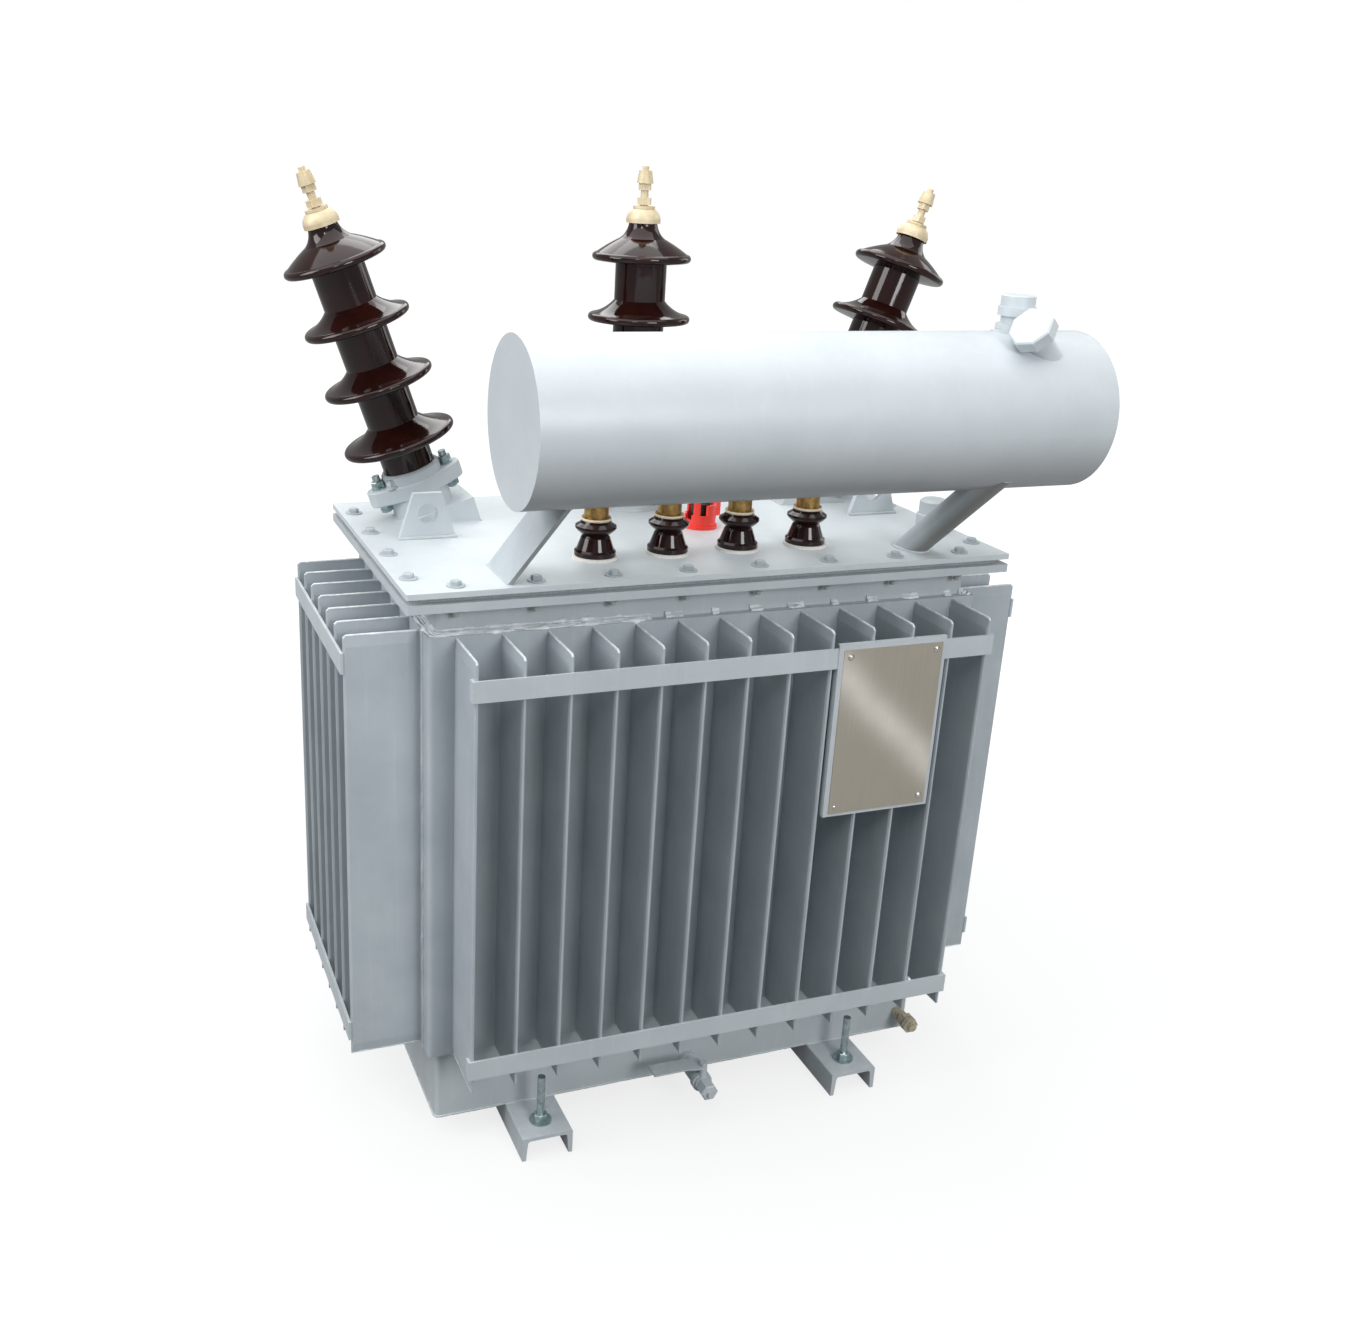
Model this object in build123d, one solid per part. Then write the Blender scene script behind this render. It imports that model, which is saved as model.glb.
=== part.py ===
from build123d import *
import os
from math import cos, radians, sin, tan

# Oil-filled power transformer: corrugated tank, bolted cover, conservator, bushings.
# Millimetres. X runs along the tank, Y from the low-voltage side to the high-voltage side, Z up.
# Pieces are drawn about the middle of the tank and written about the middle of the whole
# outline, on the floor, because the drum stands out in front.

# Base channels
channel_width = 80
channel_height = 40
channel_web = 6
channel_flange_tip = 6
channel_flange_root = 9
channel_root_fillet = 5
channel_edge_fillet = 2.5
channel_inset = 152
channel_overhang = 90
foot_hole_inset = 37
foot_hole_radius = 7

# Tank
shell_half_length = 416
shell_half_width = 216
shell_corner = 8
tank_wall = 4
tank_height = 834
skirt_height = 120
band_height = 42

# Rim, gasket and cover
rim_overhang_x = 49
rim_overhang_y = 39
rim_corner = 3
flange_thickness = 12
gasket_thickness = 8
gasket_recess = 14
cover_thickness = 8
rim_bolt_radius = 6.5
long_bolt_inset = 26
short_bolt_inset = 20
long_bolt_count = 8
long_bolt_end = 73
short_bolt_count = 4
short_bolt_end = 72

# Corrugated walls, standing proud of the band and the skirt
panel_stand_off = 14
panel_corner = 8
panel_seam = 30
fin_sheet = 3
fin_thickness = 6
fin_seam = 2.6
fin_pinch = 16
fin_tip_round = 1.6
long_fin_depth = 99
long_fin_count = 13
long_fin_end = 40
long_fin_cut = 4
short_fin_depth = 105
short_fin_count = 7
short_fin_end = 48
short_fin_cut = 4
fin_top_margin = 4

# Flat stiffener bars across the fin tips, the long ones folded back at their ends
bar_height = 30
bar_thickness = 4
bar_lip = 10
bar_inset = 39

# Conservator drum
drum_radius = 109.5
drum_wall = 4
drum_end_thickness = 5
drum_left_inset = 125
drum_right_overhang = 29
drum_forward = 43
drum_gap = 117.5

# Drum leg, a leaning flat bar
leg_thickness = 6
leg_foot_inset = 145
leg_back_inset = 113
leg_front_inset = 15
leg_head_inset = 122
leg_head_forward = 34

# Oil pipe between drum and cover
pipe_radius = 21
pipe_wall = 3
pipe_foot_inset_x = 134
pipe_foot_inset_y = 67
pipe_head_inset = 142
pipe_head_forward = 14

# Filler neck and screw cap on the drum
filler_inset = 109
filler_boss_radius = 27
filler_boss_height = 10
filler_neck_radius = 21
filler_wall = 4
filler_neck_height = 33
filler_ring_radius = 26
filler_ring_height = 12
cap_radius = 23.5
cap_height = 16
cap_chamfer = 1.5

# Slanted vent plug beside the filler
vent_beside_filler = -9
vent_round_drum = 34.4
vent_run = (-42, -15, 36)
vent_neck_radius = 17
vent_cap_flats = 58
vent_cap_height = 19
vent_cap_chamfer = 2

# High-voltage bushings
hv_row_inset = 105
hv_outer_inset = 109
hv_outer_rise = 56
hv_middle_x = 6
hv_middle_rise = 47
hv_tilt = 19.5
hv_core_radius = 40
hv_shed_radius = 87
hv_shed_taper = 3.3
hv_shed_count = 4
hv_shed_pitch = 92
hv_first_shed = 72
hv_shed_rise = 27
hv_rim_half = 6
hv_under_slope = 4
hv_crown_height = 28
hv_crown_radius = 35
hv_top_height = 51
hv_top_radius = 22
hv_spigot_radius = 34
hv_spigot_depth = 36
fit_clearance = 0.3

# Clamps and turrets that carry the high-voltage bushings
clamp_thickness = 9
clamp_collar_radius = 46
clamp_collar_height = 26
clamp_edge = 3
clamp_stud_spacing = 110
clamp_waist_radius = 48
clamp_lobe_radius = 21
clamp_bolt_radius = 6.5
turret_neck_radius = 47
turret_flange_thickness = 16
cast_edge = 3
turret_bore_radius = 38
wedge_top_inset = 81
wedge_foot_inset = 93.5
wedge_rise = 38
wedge_half_width = 50

# High-voltage terminals
stem_radius = 6
stem_depth = 28
bell_radius = 26.5
bell_band = 6
bell_height = 21
bell_top_radius = 16
bell_ring_radius = 17
bell_ring_height = 4
lock_nut_flats = 20
lock_nut_gap = 2
lock_nut_height = 10
jam_nut_flats = 18
jam_nut_rise = 48
jam_nut_height = 10
stud_clamp_radius = 12.7
stud_clamp_top_radius = 10
stud_clamp_height = 18.6
stud_tip_radius = 5
stud_tip_height = 6

# Low-voltage bushings
lv_row_centre = 7.5
lv_pitch = 113
lv_count = 4
lv_row_inset = 118
lv_seal_radius = 33
lv_seal_height = 4.5
lv_foot_radius = 30
lv_step_height = 11
lv_waist_radius = 19
lv_waist_height = 34
lv_shed_radius = 30
lv_shed_height = 46
lv_top_radius = 21
lv_top_height = 56
lv_spigot_radius = 18
lv_spigot_depth = 30
lv_ring_height = 4
lv_body_radius = 17.5
lv_body_height = 58
lv_nut_flats = 19
lv_nut_height = 10
lv_stem_depth = 20
lv_stem_height = 32

# Tap changer: a stepped guard round a turning knob
tap_x = 63
tap_y = -4
tap_radius = 27
tap_base_height = 5
tap_guard_radius = 24.5
tap_guard_wall = 3.5
tap_guard_height = 22
tap_step_height = 38
tap_post_height = 54
tap_knob_radius = 15
tap_knob_height = 40
tap_key_height = 12
tap_tab_reach = 43

# Lifting lugs
lug_inset = 88
lug_centre_x = 8
lug_y = 18
lug_base = 86
lug_top = 43
lug_height = 68
lug_thickness = 10
lug_hole_radius = 15
lug_hole_height = 37

# Thermometer pocket
pocket_inset_x = 40
pocket_inset_y = 155
pocket_radius = 25
pocket_lower_height = 26
pocket_cap_radius = 22
pocket_height = 51

# Nameplate on its hanging bracket, which spans some gaps between front fins
bracket_first_fin = 8
bracket_gap_count = 3
bracket_left_gap = 4
bracket_right_gap = 8
bracket_above_bar = 7
bracket_height = 269
bracket_gauge = 2
bracket_lip = 12
plate_margin_left = 8
plate_margin_right = 6
plate_margin_top = 9
plate_margin_bottom = 5
plate_gauge = 1.5

# Drain valve low on the front of the skirt
valve_x = 3
valve_height = 16
valve_body_radius = 14
valve_body_end = 92
valve_boss_radius = 17
valve_boss_length = 8
valve_ring_radius = 16.5
valve_ring_at = 52
valve_ring_length = 10
valve_hex_flats = 25
valve_hex_at = 66
valve_spout_radius = 5.5
valve_spout_length = 6
valve_stem_at = 62
valve_stem_radius = 6
valve_stem_height = 34
lever_reach = 86
lever_depth = 22
lever_thickness = 2.5
lever_drop = 5

# Earthing stud
earth_inset = 21
earth_height = 32
earth_boss_radius = 10
earth_boss_length = 16
earth_radius = 7
earth_reach = 54
earth_nut_flats = 24
earth_nut_height = 9

# Places that follow from the sizes above
tank_bottom = channel_height
flange_top = tank_bottom + tank_height
flange_bottom = flange_top - flange_thickness
gasket_top = flange_top + gasket_thickness
cover_top = gasket_top + cover_thickness
cover_half_length = shell_half_length + rim_overhang_x
cover_half_width = shell_half_width + rim_overhang_y
panel_half_length = shell_half_length + panel_stand_off
panel_half_width = shell_half_width + panel_stand_off
panel_bottom = tank_bottom + skirt_height
panel_top = flange_bottom - band_height
fin_bottom = panel_bottom
fin_top = panel_top - fin_top_margin
long_fin_pitch = 2 * (panel_half_length - long_fin_end) / (long_fin_count - 1)
short_fin_pitch = 2 * (panel_half_width - short_fin_end) / (short_fin_count - 1)
long_fin_tip = panel_half_width + long_fin_depth
short_fin_tip = panel_half_length + short_fin_depth
upper_bar_z = fin_top - bar_inset
lower_bar_z = fin_bottom + bar_inset
foot_spacing_x = 2 * (shell_half_length - channel_inset)
channel_length = 2 * (shell_half_width + channel_overhang)
foot_spacing_y = channel_length - 2 * foot_hole_inset
rim_bolt_y = cover_half_width - long_bolt_inset
rim_bolt_x = cover_half_length - short_bolt_inset
long_bolt_pitch = 2 * (cover_half_length - long_bolt_end) / (long_bolt_count - 1)
short_bolt_pitch = 2 * (cover_half_width - short_bolt_end) / (short_bolt_count - 1)
drum_left = drum_left_inset - cover_half_length
drum_right = cover_half_length + drum_right_overhang
drum_y = -cover_half_width - drum_forward
drum_z = cover_top + drum_gap + drum_radius
hv_y = cover_half_width - hv_row_inset
hv_outer_x = cover_half_length - hv_outer_inset
hv_length = hv_first_shed + (hv_shed_count - 1) * hv_shed_pitch + hv_top_height
lv_y = lv_row_inset - cover_half_width
filler_x = drum_right - filler_inset
reach = 3 * panel_half_length
outline_shift = (drum_radius - drum_y - long_fin_tip - bar_thickness) / 2

low = (Align.CENTER, Align.CENTER, Align.MIN)


def upright(radius, height, x, y, z):
    """A standing cylinder with its foot at x, y, z."""
    return Pos(x, y, z) * Cylinder(radius, height, align=low)


def forward(radius, length, x, y, z):
    """A lying cylinder that runs from x, y, z towards the low-voltage side."""
    return Pos(x, y, z) * Rot(90, 0, 0) * Cylinder(radius, length, align=low)


def forward_hexagon(flats, length, x, y, z):
    """A lying six-sided bar that runs the same way, flats left and right."""
    bar = extrude(RegularPolygon(flats / 2, 6, major_radius=False), length)
    return Pos(x, y, z) * Rot(90, 0, 0) * bar


def hexagon(flats, height, z):
    """A standing nut about the Z axis."""
    return Pos(0, 0, z) * extrude(RegularPolygon(flats / 2, 6, major_radius=False), height)


def slab(x0, x1, y0, y1, z0, z1):
    """A box between three pairs of limits."""
    centre = Pos((x0 + x1) / 2, (y0 + y1) / 2, (z0 + z1) / 2)
    return centre * Box(abs(x1 - x0), abs(y1 - y0), abs(z1 - z0))


def rounded_plate(half_x, half_y, corner, z0, z1):
    """A plate with rounded upright edges."""
    outline = RectangleRounded(2 * half_x, 2 * half_y, corner)
    return Pos(0, 0, z0) * extrude(outline, z1 - z0)


def turned(points):
    """A solid of revolution about Z from its half outline in X and Z."""
    outline = Plane.XZ * Polyline(*points, close=True)
    return revolve(make_face(outline), Axis.Z)


def under_cover():
    """Everything below the cover's upper face, to cut pieces that stand on it."""
    return slab(-reach, reach, -reach, reach, cover_top - reach, cover_top)


def rim_bolt_places():
    """The bolts round the cover, in two long rows and two short ones."""
    places = []
    for i in range(long_bolt_count):
        x = (i - (long_bolt_count - 1) / 2) * long_bolt_pitch
        places += [(x, -rim_bolt_y), (x, rim_bolt_y)]
    for i in range(short_bolt_count):
        y = (i - (short_bolt_count - 1) / 2) * short_bolt_pitch
        places += [(-rim_bolt_x, y), (rim_bolt_x, y)]
    return places


def rim_bolt_holes(z0, z1):
    """Drills for the rim bolts, running a little past both faces."""
    return [upright(rim_bolt_radius, z1 - z0 + 2, x, y, z0 - 1) for x, y in rim_bolt_places()]


# Base channels, open downwards with flanges that taper to their tips
def base_channel(side):
    w, h = channel_width / 2, channel_height
    inner_root, inner_tip = w - channel_flange_root, w - channel_flange_tip
    outline = make_face(Polyline(
        (-w, h), (w, h), (w, 0), (inner_tip, 0), (inner_root, h - channel_web),
        (-inner_root, h - channel_web), (-inner_tip, 0), (-w, 0), close=True))
    roots = [v for v in outline.vertices() if abs(v.Y - h + channel_web) < 0.01]
    outline = fillet(roots, channel_root_fillet)
    shoulders = [v for v in outline.vertices() if abs(abs(v.X) - w) < 0.01 and v.Y > h / 2]
    outline = fillet(shoulders, channel_edge_fillet)
    channel = extrude(Plane.XZ * outline, channel_length / 2, both=True)
    x = side * foot_spacing_x / 2
    channel = Pos(x, 0, 0) * channel
    for y in (-foot_spacing_y / 2, foot_spacing_y / 2):
        channel -= upright(foot_hole_radius, channel_height + 2, x, y, -1)
    return channel


# Tank shell, a seamed wall with rounded corners and a separate floor
def shell_inside(z0, z1):
    return rounded_plate(shell_half_length - tank_wall, shell_half_width - tank_wall,
                         shell_corner - tank_wall, z0, z1)


def tank_shell():
    outer = rounded_plate(shell_half_length, shell_half_width, shell_corner, tank_bottom, flange_top)
    return outer - shell_inside(tank_bottom - 1, flange_top + 1)


def tank_floor():
    return shell_inside(tank_bottom, tank_bottom + tank_wall)


# Rim flange welded round the mouth of the tank
def rim_flange():
    plate = rounded_plate(cover_half_length, cover_half_width, rim_corner, flange_bottom, flange_top)
    plate -= rounded_plate(shell_half_length, shell_half_width, shell_corner,
                           flange_bottom - 1, flange_top + 1)
    return plate - rim_bolt_holes(flange_bottom, flange_top)


def cover_gasket():
    half_x = cover_half_length - gasket_recess
    half_y = cover_half_width - gasket_recess
    ring = rounded_plate(half_x, half_y, rim_corner, flange_top, gasket_top)
    ring -= shell_inside(flange_top - 1, gasket_top + 1)
    return ring - rim_bolt_holes(flange_top, gasket_top)


def cover_plate():
    plate = rounded_plate(cover_half_length, cover_half_width, rim_corner, gasket_top, cover_top)
    plate -= rim_bolt_holes(gasket_top, cover_top)
    for x in lv_places():
        plate -= upright(lv_spigot_radius, cover_thickness + 2, x, lv_y, gasket_top - 1)
    for side in (-1, 0, 1):
        plate -= bushing_place(side) * turret_bore()
    return plate - pipe_core(pipe_radius - pipe_wall)


# Corrugated walls: a stepped pan with deep upright fins, one on each side
def panel_ring():
    """The four flat pans as one ring, folded in to the shell above and below."""
    ring = rounded_plate(panel_half_length, panel_half_width, panel_corner, panel_bottom, panel_top)
    ring -= rounded_plate(panel_half_length - fin_sheet, panel_half_width - fin_sheet,
                          panel_corner - fin_sheet, panel_bottom + fin_sheet, panel_top - fin_sheet)
    return ring - rounded_plate(shell_half_length, shell_half_width, shell_corner,
                                panel_bottom - 1, panel_top + 1)


def fin(depth, corner_cut):
    """A fin rooted in the plane y = 0, pinched to a welded seam at its two ends."""
    half, seam = fin_thickness / 2, fin_seam / 2
    front = make_face(Polyline(
        (-seam, fin_bottom), (seam, fin_bottom), (half, fin_bottom + fin_pinch),
        (half, fin_top - fin_pinch), (seam, fin_top), (-seam, fin_top),
        (-half, fin_top - fin_pinch), (-half, fin_bottom + fin_pinch), close=True))
    plan = make_face(Polyline(
        (-half, 1), (half, 1), (half, -depth + 2 * fin_tip_round),
        (half - fin_tip_round, -depth), (fin_tip_round - half, -depth),
        (-half, -depth + 2 * fin_tip_round), close=True))
    body = extrude(Plane.XZ * front, depth + 1, both=True)
    body &= Pos(0, 0, fin_bottom) * extrude(plan, fin_top - fin_bottom)
    cut = Plane.YZ * make_face(Polyline(
        (-depth - 1, fin_top - corner_cut), (-depth - 1, fin_top + 1),
        (-depth + corner_cut, fin_top + 1), close=True))
    return body - extrude(cut, fin_thickness, both=True)


def fin_row(count, pitch, depth, corner_cut, root):
    """A row on the -Y side, with its roots at the given distance from the axis."""
    one = Pos(0, -root, 0) * fin(depth, corner_cut)
    return [Pos((i - (count - 1) / 2) * pitch, 0, 0) * one for i in range(count)]


def long_wall(turn):
    """A long side, carrying the two corners next to it."""
    part = slab(-reach, reach, -reach, panel_seam - panel_half_width, panel_bottom - 1, panel_top + 1)
    row = fin_row(long_fin_count, long_fin_pitch, long_fin_depth, long_fin_cut, panel_half_width)
    return Rot(0, 0, turn) * ((panel_ring() & part) + row)


def short_wall(turn):
    seam = panel_half_width - panel_seam
    part = slab(-reach, 0, -seam, seam, panel_bottom - 1, panel_top + 1)
    row = fin_row(short_fin_count, short_fin_pitch, short_fin_depth, short_fin_cut, panel_half_length)
    wall = (panel_ring() & part) + [Rot(0, 0, -90) * one for one in row]
    return Rot(0, 0, turn) * wall


# Flat bars that tie the fin tips together
def stiffener_bar(half, tip, z, turn):
    bar = slab(-half, half, -tip - bar_thickness, -tip, z - bar_height / 2, z + bar_height / 2)
    return Rot(0, 0, turn) * bar


def folded_bar(half, tip, z, turn):
    """A bar that wraps round the first and last fin with a short lip."""
    end = half + bar_thickness
    bar = stiffener_bar(end, tip, z, 0)
    for side in (-1, 1):
        bar += slab(side * half, side * end, -tip - bar_thickness, -tip + bar_lip,
                    z - bar_height / 2, z + bar_height / 2)
    return Rot(0, 0, turn) * bar


def stiffener_bars(z):
    long_half = (long_fin_count - 1) / 2 * long_fin_pitch + fin_thickness / 2
    short_half = (short_fin_count - 1) / 2 * short_fin_pitch + fin_thickness / 2
    return Compound([
        folded_bar(long_half, long_fin_tip, z, 0), folded_bar(long_half, long_fin_tip, z, 180),
        stiffener_bar(short_half, short_fin_tip, z, -90), stiffener_bar(short_half, short_fin_tip, z, 90)])


# Conservator drum, a shell with a flat disc on each end
def drum_body(radius, start, end):
    """A lying cylinder on the drum's axis between two places along X."""
    return Pos(start, drum_y, drum_z) * Rot(0, 90, 0) * Cylinder(radius, end - start, align=low)


def drum_space():
    """The drum's whole outside, drawn out past both ends, to cut what meets it."""
    return drum_body(drum_radius, drum_left - drum_radius, drum_right + drum_radius)


def conservator_shell():
    start, end = drum_left + drum_end_thickness, drum_right - drum_end_thickness
    shell = drum_body(drum_radius, start, end) - drum_body(drum_radius - drum_wall, start, end)
    shell -= pipe_core(pipe_radius - pipe_wall)
    return shell - upright(filler_neck_radius - filler_wall, 2 * drum_radius, filler_x, drum_y, drum_z)


def conservator_end(side):
    if side < 0:
        return drum_body(drum_radius, drum_left, drum_left + drum_end_thickness)
    return drum_body(drum_radius, drum_right - drum_end_thickness, drum_right)


def conservator_leg():
    """A flat bar that leans from the cover to the underside of the drum."""
    foot_x = leg_foot_inset - cover_half_length
    back = Vector(foot_x, leg_back_inset - cover_half_width, cover_top)
    front = Vector(foot_x, leg_front_inset - cover_half_width, cover_top)
    head = Vector(drum_left + leg_head_inset, drum_y - leg_head_forward, drum_z)
    lean = head - (back + front) * 0.5
    below = lean * (-leg_thickness * 4 / lean.length)
    face = make_face(Polyline(back + below, front + below, front + lean, back + lean, close=True))
    plate = extrude(face, leg_thickness / 2, both=True) - drum_space() - under_cover()
    return plate.solids().sort_by(Axis.Z)[0]


def pipe_core(radius):
    """The pipe's straight run, drawn on past its foot and its head."""
    foot = Vector(cover_half_length - pipe_foot_inset_x, pipe_foot_inset_y - cover_half_width, cover_top)
    head = Vector(drum_right - pipe_head_inset, drum_y - pipe_head_forward, drum_z - drum_radius)
    run = head - foot
    beyond = 2.5 * pipe_radius
    plane = Plane(origin=foot - run.normalized() * beyond, z_dir=run)
    return extrude(plane * Circle(radius), run.length + 2 * beyond)


def conservator_pipe():
    pipe = pipe_core(pipe_radius) - drum_space() - under_cover()
    pipe = pipe.solids().sort_by(Axis.Z)[0]
    return pipe - pipe_core(pipe_radius - pipe_wall)


# Filler neck and its screw cap on top of the drum
def filler_neck():
    top = drum_z + drum_radius + filler_neck_height
    neck = upright(filler_boss_radius, drum_radius + filler_boss_height, filler_x, drum_y, drum_z)
    neck += upright(filler_neck_radius, top - drum_z, filler_x, drum_y, drum_z)
    neck += upright(filler_ring_radius, filler_ring_height, filler_x, drum_y, top - filler_ring_height)
    neck -= upright(filler_neck_radius - filler_wall, top, filler_x, drum_y, drum_z - 1)
    return (neck - drum_space()).solids().sort_by(Axis.Z)[-1]


def filler_cap():
    cap = upright(cap_radius, cap_height, filler_x, drum_y, drum_z + drum_radius + filler_neck_height)
    return chamfer(cap.faces().sort_by(Axis.Z)[-1].edges(), cap_chamfer)


def vent_plug():
    """An eight-sided plug on a short slanted neck, in front of the filler."""
    turn = radians(vent_round_drum)
    foot = Vector(filler_x - vent_beside_filler, drum_y - drum_radius * sin(turn),
                  drum_z + drum_radius * cos(turn))
    run = Vector(*vent_run)
    plane = Plane(origin=foot + run, z_dir=run)
    cap = extrude(plane * RegularPolygon(vent_cap_flats / 2, 8, major_radius=False), -vent_cap_height)
    outward = Axis(tuple(foot), tuple(run))
    cap = chamfer(cap.faces().sort_by(outward)[-1].edges(), vent_cap_chamfer)
    neck = extrude(plane * Circle(vent_neck_radius), -2 * run.length)
    return (cap + neck - drum_space()).solids().sort_by(Axis.Z)[-1]


# High-voltage bushings, the outer two leaning outwards
def bushing_place(side):
    if side == 0:
        return Pos(hv_middle_x, hv_y, cover_top + hv_middle_rise)
    return Pos(side * hv_outer_x, hv_y, cover_top + hv_outer_rise) * Rot(0, side * hv_tilt, 0)


def oval():
    """The plan of a clamp: a round middle with a lobe for a stud on each side."""
    lobe = clamp_stud_spacing / 2
    waist = Circle(clamp_waist_radius).edge()
    right = (Pos(lobe, 0) * Circle(clamp_lobe_radius)).edge()
    left = (Pos(-lobe, 0) * Circle(clamp_lobe_radius)).edge()
    return make_hull([waist, right, left])


def stud_drills(z0, z1):
    return [upright(clamp_bolt_radius, z1 - z0 + 2, x, 0, z0 - 1)
            for x in (-clamp_stud_spacing / 2, clamp_stud_spacing / 2)]


def turret_run():
    """A length along a turret's axis that reaches well below the cover."""
    return 2 * hv_outer_rise + turret_neck_radius


def turret_bore():
    return Pos(0, 0, -turret_run()) * Cylinder(turret_bore_radius, turret_run() + 0.01, align=low)


def turret_neck():
    """Neck and bushing flange, about the bushing's own axis."""
    neck = Pos(0, 0, -turret_run()) * Cylinder(turret_neck_radius, turret_run(), align=low)
    flange = Pos(0, 0, -turret_flange_thickness) * extrude(oval(), turret_flange_thickness)
    flange = fillet(flange.faces().sort_by(Axis.Z)[0].edges(), cast_edge)
    return neck + flange - stud_drills(-turret_flange_thickness, 0)


def hv_turret(side):
    body = bushing_place(side) * turret_neck()
    if side:
        top_x = hv_outer_x - wedge_top_inset
        outer_foot_x = top_x + wedge_rise / tan(radians(hv_tilt))
        outline = Polyline((side * outer_foot_x, cover_top), (side * top_x, cover_top + wedge_rise),
                           (side * (hv_outer_x - wedge_foot_inset), cover_top), close=True)
        wedge = extrude(Plane.XZ * make_face(outline), wedge_half_width, both=True)
        body += Pos(0, hv_y, 0) * wedge
    body = (body - under_cover()).solids().sort_by(Axis.Z)[-1]
    return body - bushing_place(side) * turret_bore()


def hv_clamp(side):
    """An oval plate with a collar that grips the foot of the porcelain."""
    bore = hv_core_radius + fit_clearance
    radius, height = clamp_collar_radius, clamp_collar_height
    collar = turned([(bore, 0), (radius, 0), (radius, height - clamp_edge),
                     (radius - clamp_edge, height), (bore, height)])
    plate = extrude(oval(), clamp_thickness)
    plate = fillet(plate.faces().sort_by(Axis.Z)[-1].edges(), cast_edge)
    plate -= Cylinder(bore, 3 * clamp_thickness)
    return bushing_place(side) * (plate + collar - stud_drills(0, clamp_thickness))


def hv_porcelain(side):
    """Glazed body with flared sheds, turned about the bushing's axis."""
    core, rim = hv_core_radius, hv_rim_half
    bore, top = stem_radius + fit_clearance, hv_length
    with BuildSketch(Plane.XZ) as outline:
        with BuildLine():
            at = [(0, -hv_spigot_depth), (hv_spigot_radius, -hv_spigot_depth),
                  (hv_spigot_radius, 0), (core, 0)]
            for i in range(hv_shed_count):
                z = hv_first_shed + i * hv_shed_pitch
                tip = hv_shed_radius - i * hv_shed_taper
                under, over = (tip - rim, z - rim), (tip - rim, z + rim)
                Polyline(*at, (core, z - rim - hv_under_slope), under)
                ThreePointArc(under, (tip, z), over)
                if i < hv_shed_count - 1:
                    neck = (core, z + hv_shed_rise)
                    middle = (core + 0.37 * (tip - core), z + 0.52 * hv_shed_rise)
                    ThreePointArc(over, middle, neck)
                else:
                    crown = (hv_crown_radius, z + hv_crown_height)
                    neck = (hv_top_radius, z + hv_top_height)
                    middle = (0.5 * (tip + hv_crown_radius), z + 0.58 * hv_crown_height)
                    ThreePointArc(over, middle, crown)
                    ThreePointArc(crown, (0.35 * hv_crown_radius + 0.65 * hv_top_radius,
                                          z + 0.6 * hv_crown_height + 0.4 * hv_top_height), neck)
                at = [neck]
            Polyline(*at, (bore, top), (bore, top - stem_depth - 1), (0, top - stem_depth - 1),
                     (0, -hv_spigot_depth))
        make_face()
    return bushing_place(side) * revolve(outline.sketch, Axis.Z)


def hv_terminal(side):
    """Bell cap, lock nut, jam nut, clamping head and stud tip on one stem."""
    base = hv_length
    ring = base + bell_height
    with BuildSketch(Plane.XZ) as outline:
        with BuildLine():
            Polyline((bell_ring_radius, ring), (bell_ring_radius, ring + bell_ring_height),
                     (0, ring + bell_ring_height), (0, base), (bell_radius, base),
                     (bell_radius, base + bell_band))
            ThreePointArc((bell_radius, base + bell_band),
                          (bell_radius - 0.25 * (bell_radius - bell_top_radius), base + 0.65 * bell_height),
                          (bell_top_radius, ring))
            Line((bell_top_radius, ring), (bell_ring_radius, ring))
        make_face()
    nut = ring + bell_ring_height + lock_nut_gap
    jam = base + jam_nut_rise
    head = jam + jam_nut_height
    tip = head + stud_clamp_height
    body = revolve(outline.sketch, Axis.Z)
    body += Pos(0, 0, base - stem_depth) * Cylinder(stem_radius, stem_depth + jam_nut_rise + 1, align=low)
    body += hexagon(lock_nut_flats, lock_nut_height, nut)
    body += hexagon(jam_nut_flats, jam_nut_height, jam)
    end = tip + stud_tip_height
    body += turned([(0, head), (stud_clamp_radius, head), (stud_clamp_top_radius, tip),
                    (stud_tip_radius, tip), (stud_tip_radius, end), (0, end)])
    return bushing_place(side) * body


# Low-voltage bushings in a row behind the drum
def lv_places():
    return [lv_row_centre + (i - (lv_count - 1) / 2) * lv_pitch for i in range(lv_count)]


def lv_seals():
    ring = upright(lv_seal_radius, lv_seal_height, 0, lv_y, cover_top)
    ring -= upright(lv_spigot_radius, lv_seal_height + 2, 0, lv_y, cover_top - 1)
    return Compound([Pos(x, 0, 0) * ring for x in lv_places()])


def lv_porcelains():
    """A stepped foot, a waist and one rounded shed, bored for the stem."""
    spigot, bore = lv_spigot_radius - fit_clearance, stem_radius + fit_clearance
    waist_to_shed = lv_shed_height - lv_waist_height
    body = turned([
        (0, -lv_spigot_depth), (spigot, -lv_spigot_depth), (spigot, lv_seal_height),
        (lv_foot_radius, lv_seal_height), (lv_foot_radius, lv_step_height),
        (lv_foot_radius - 3, lv_step_height + 3), (lv_waist_radius + 2, lv_waist_height - 3),
        (lv_waist_radius, lv_waist_height), (lv_shed_radius - 2, lv_shed_height - waist_to_shed / 3),
        (lv_shed_radius, lv_shed_height - 1), (lv_shed_radius - 0.5, lv_shed_height + 2),
        (lv_top_radius + 2, lv_top_height - 4), (lv_top_radius, lv_top_height), (bore, lv_top_height),
        (bore, lv_top_height - lv_stem_depth - 1), (0, lv_top_height - lv_stem_depth - 1)])
    return Compound([Pos(x, lv_y, cover_top) * body for x in lv_places()])


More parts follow.
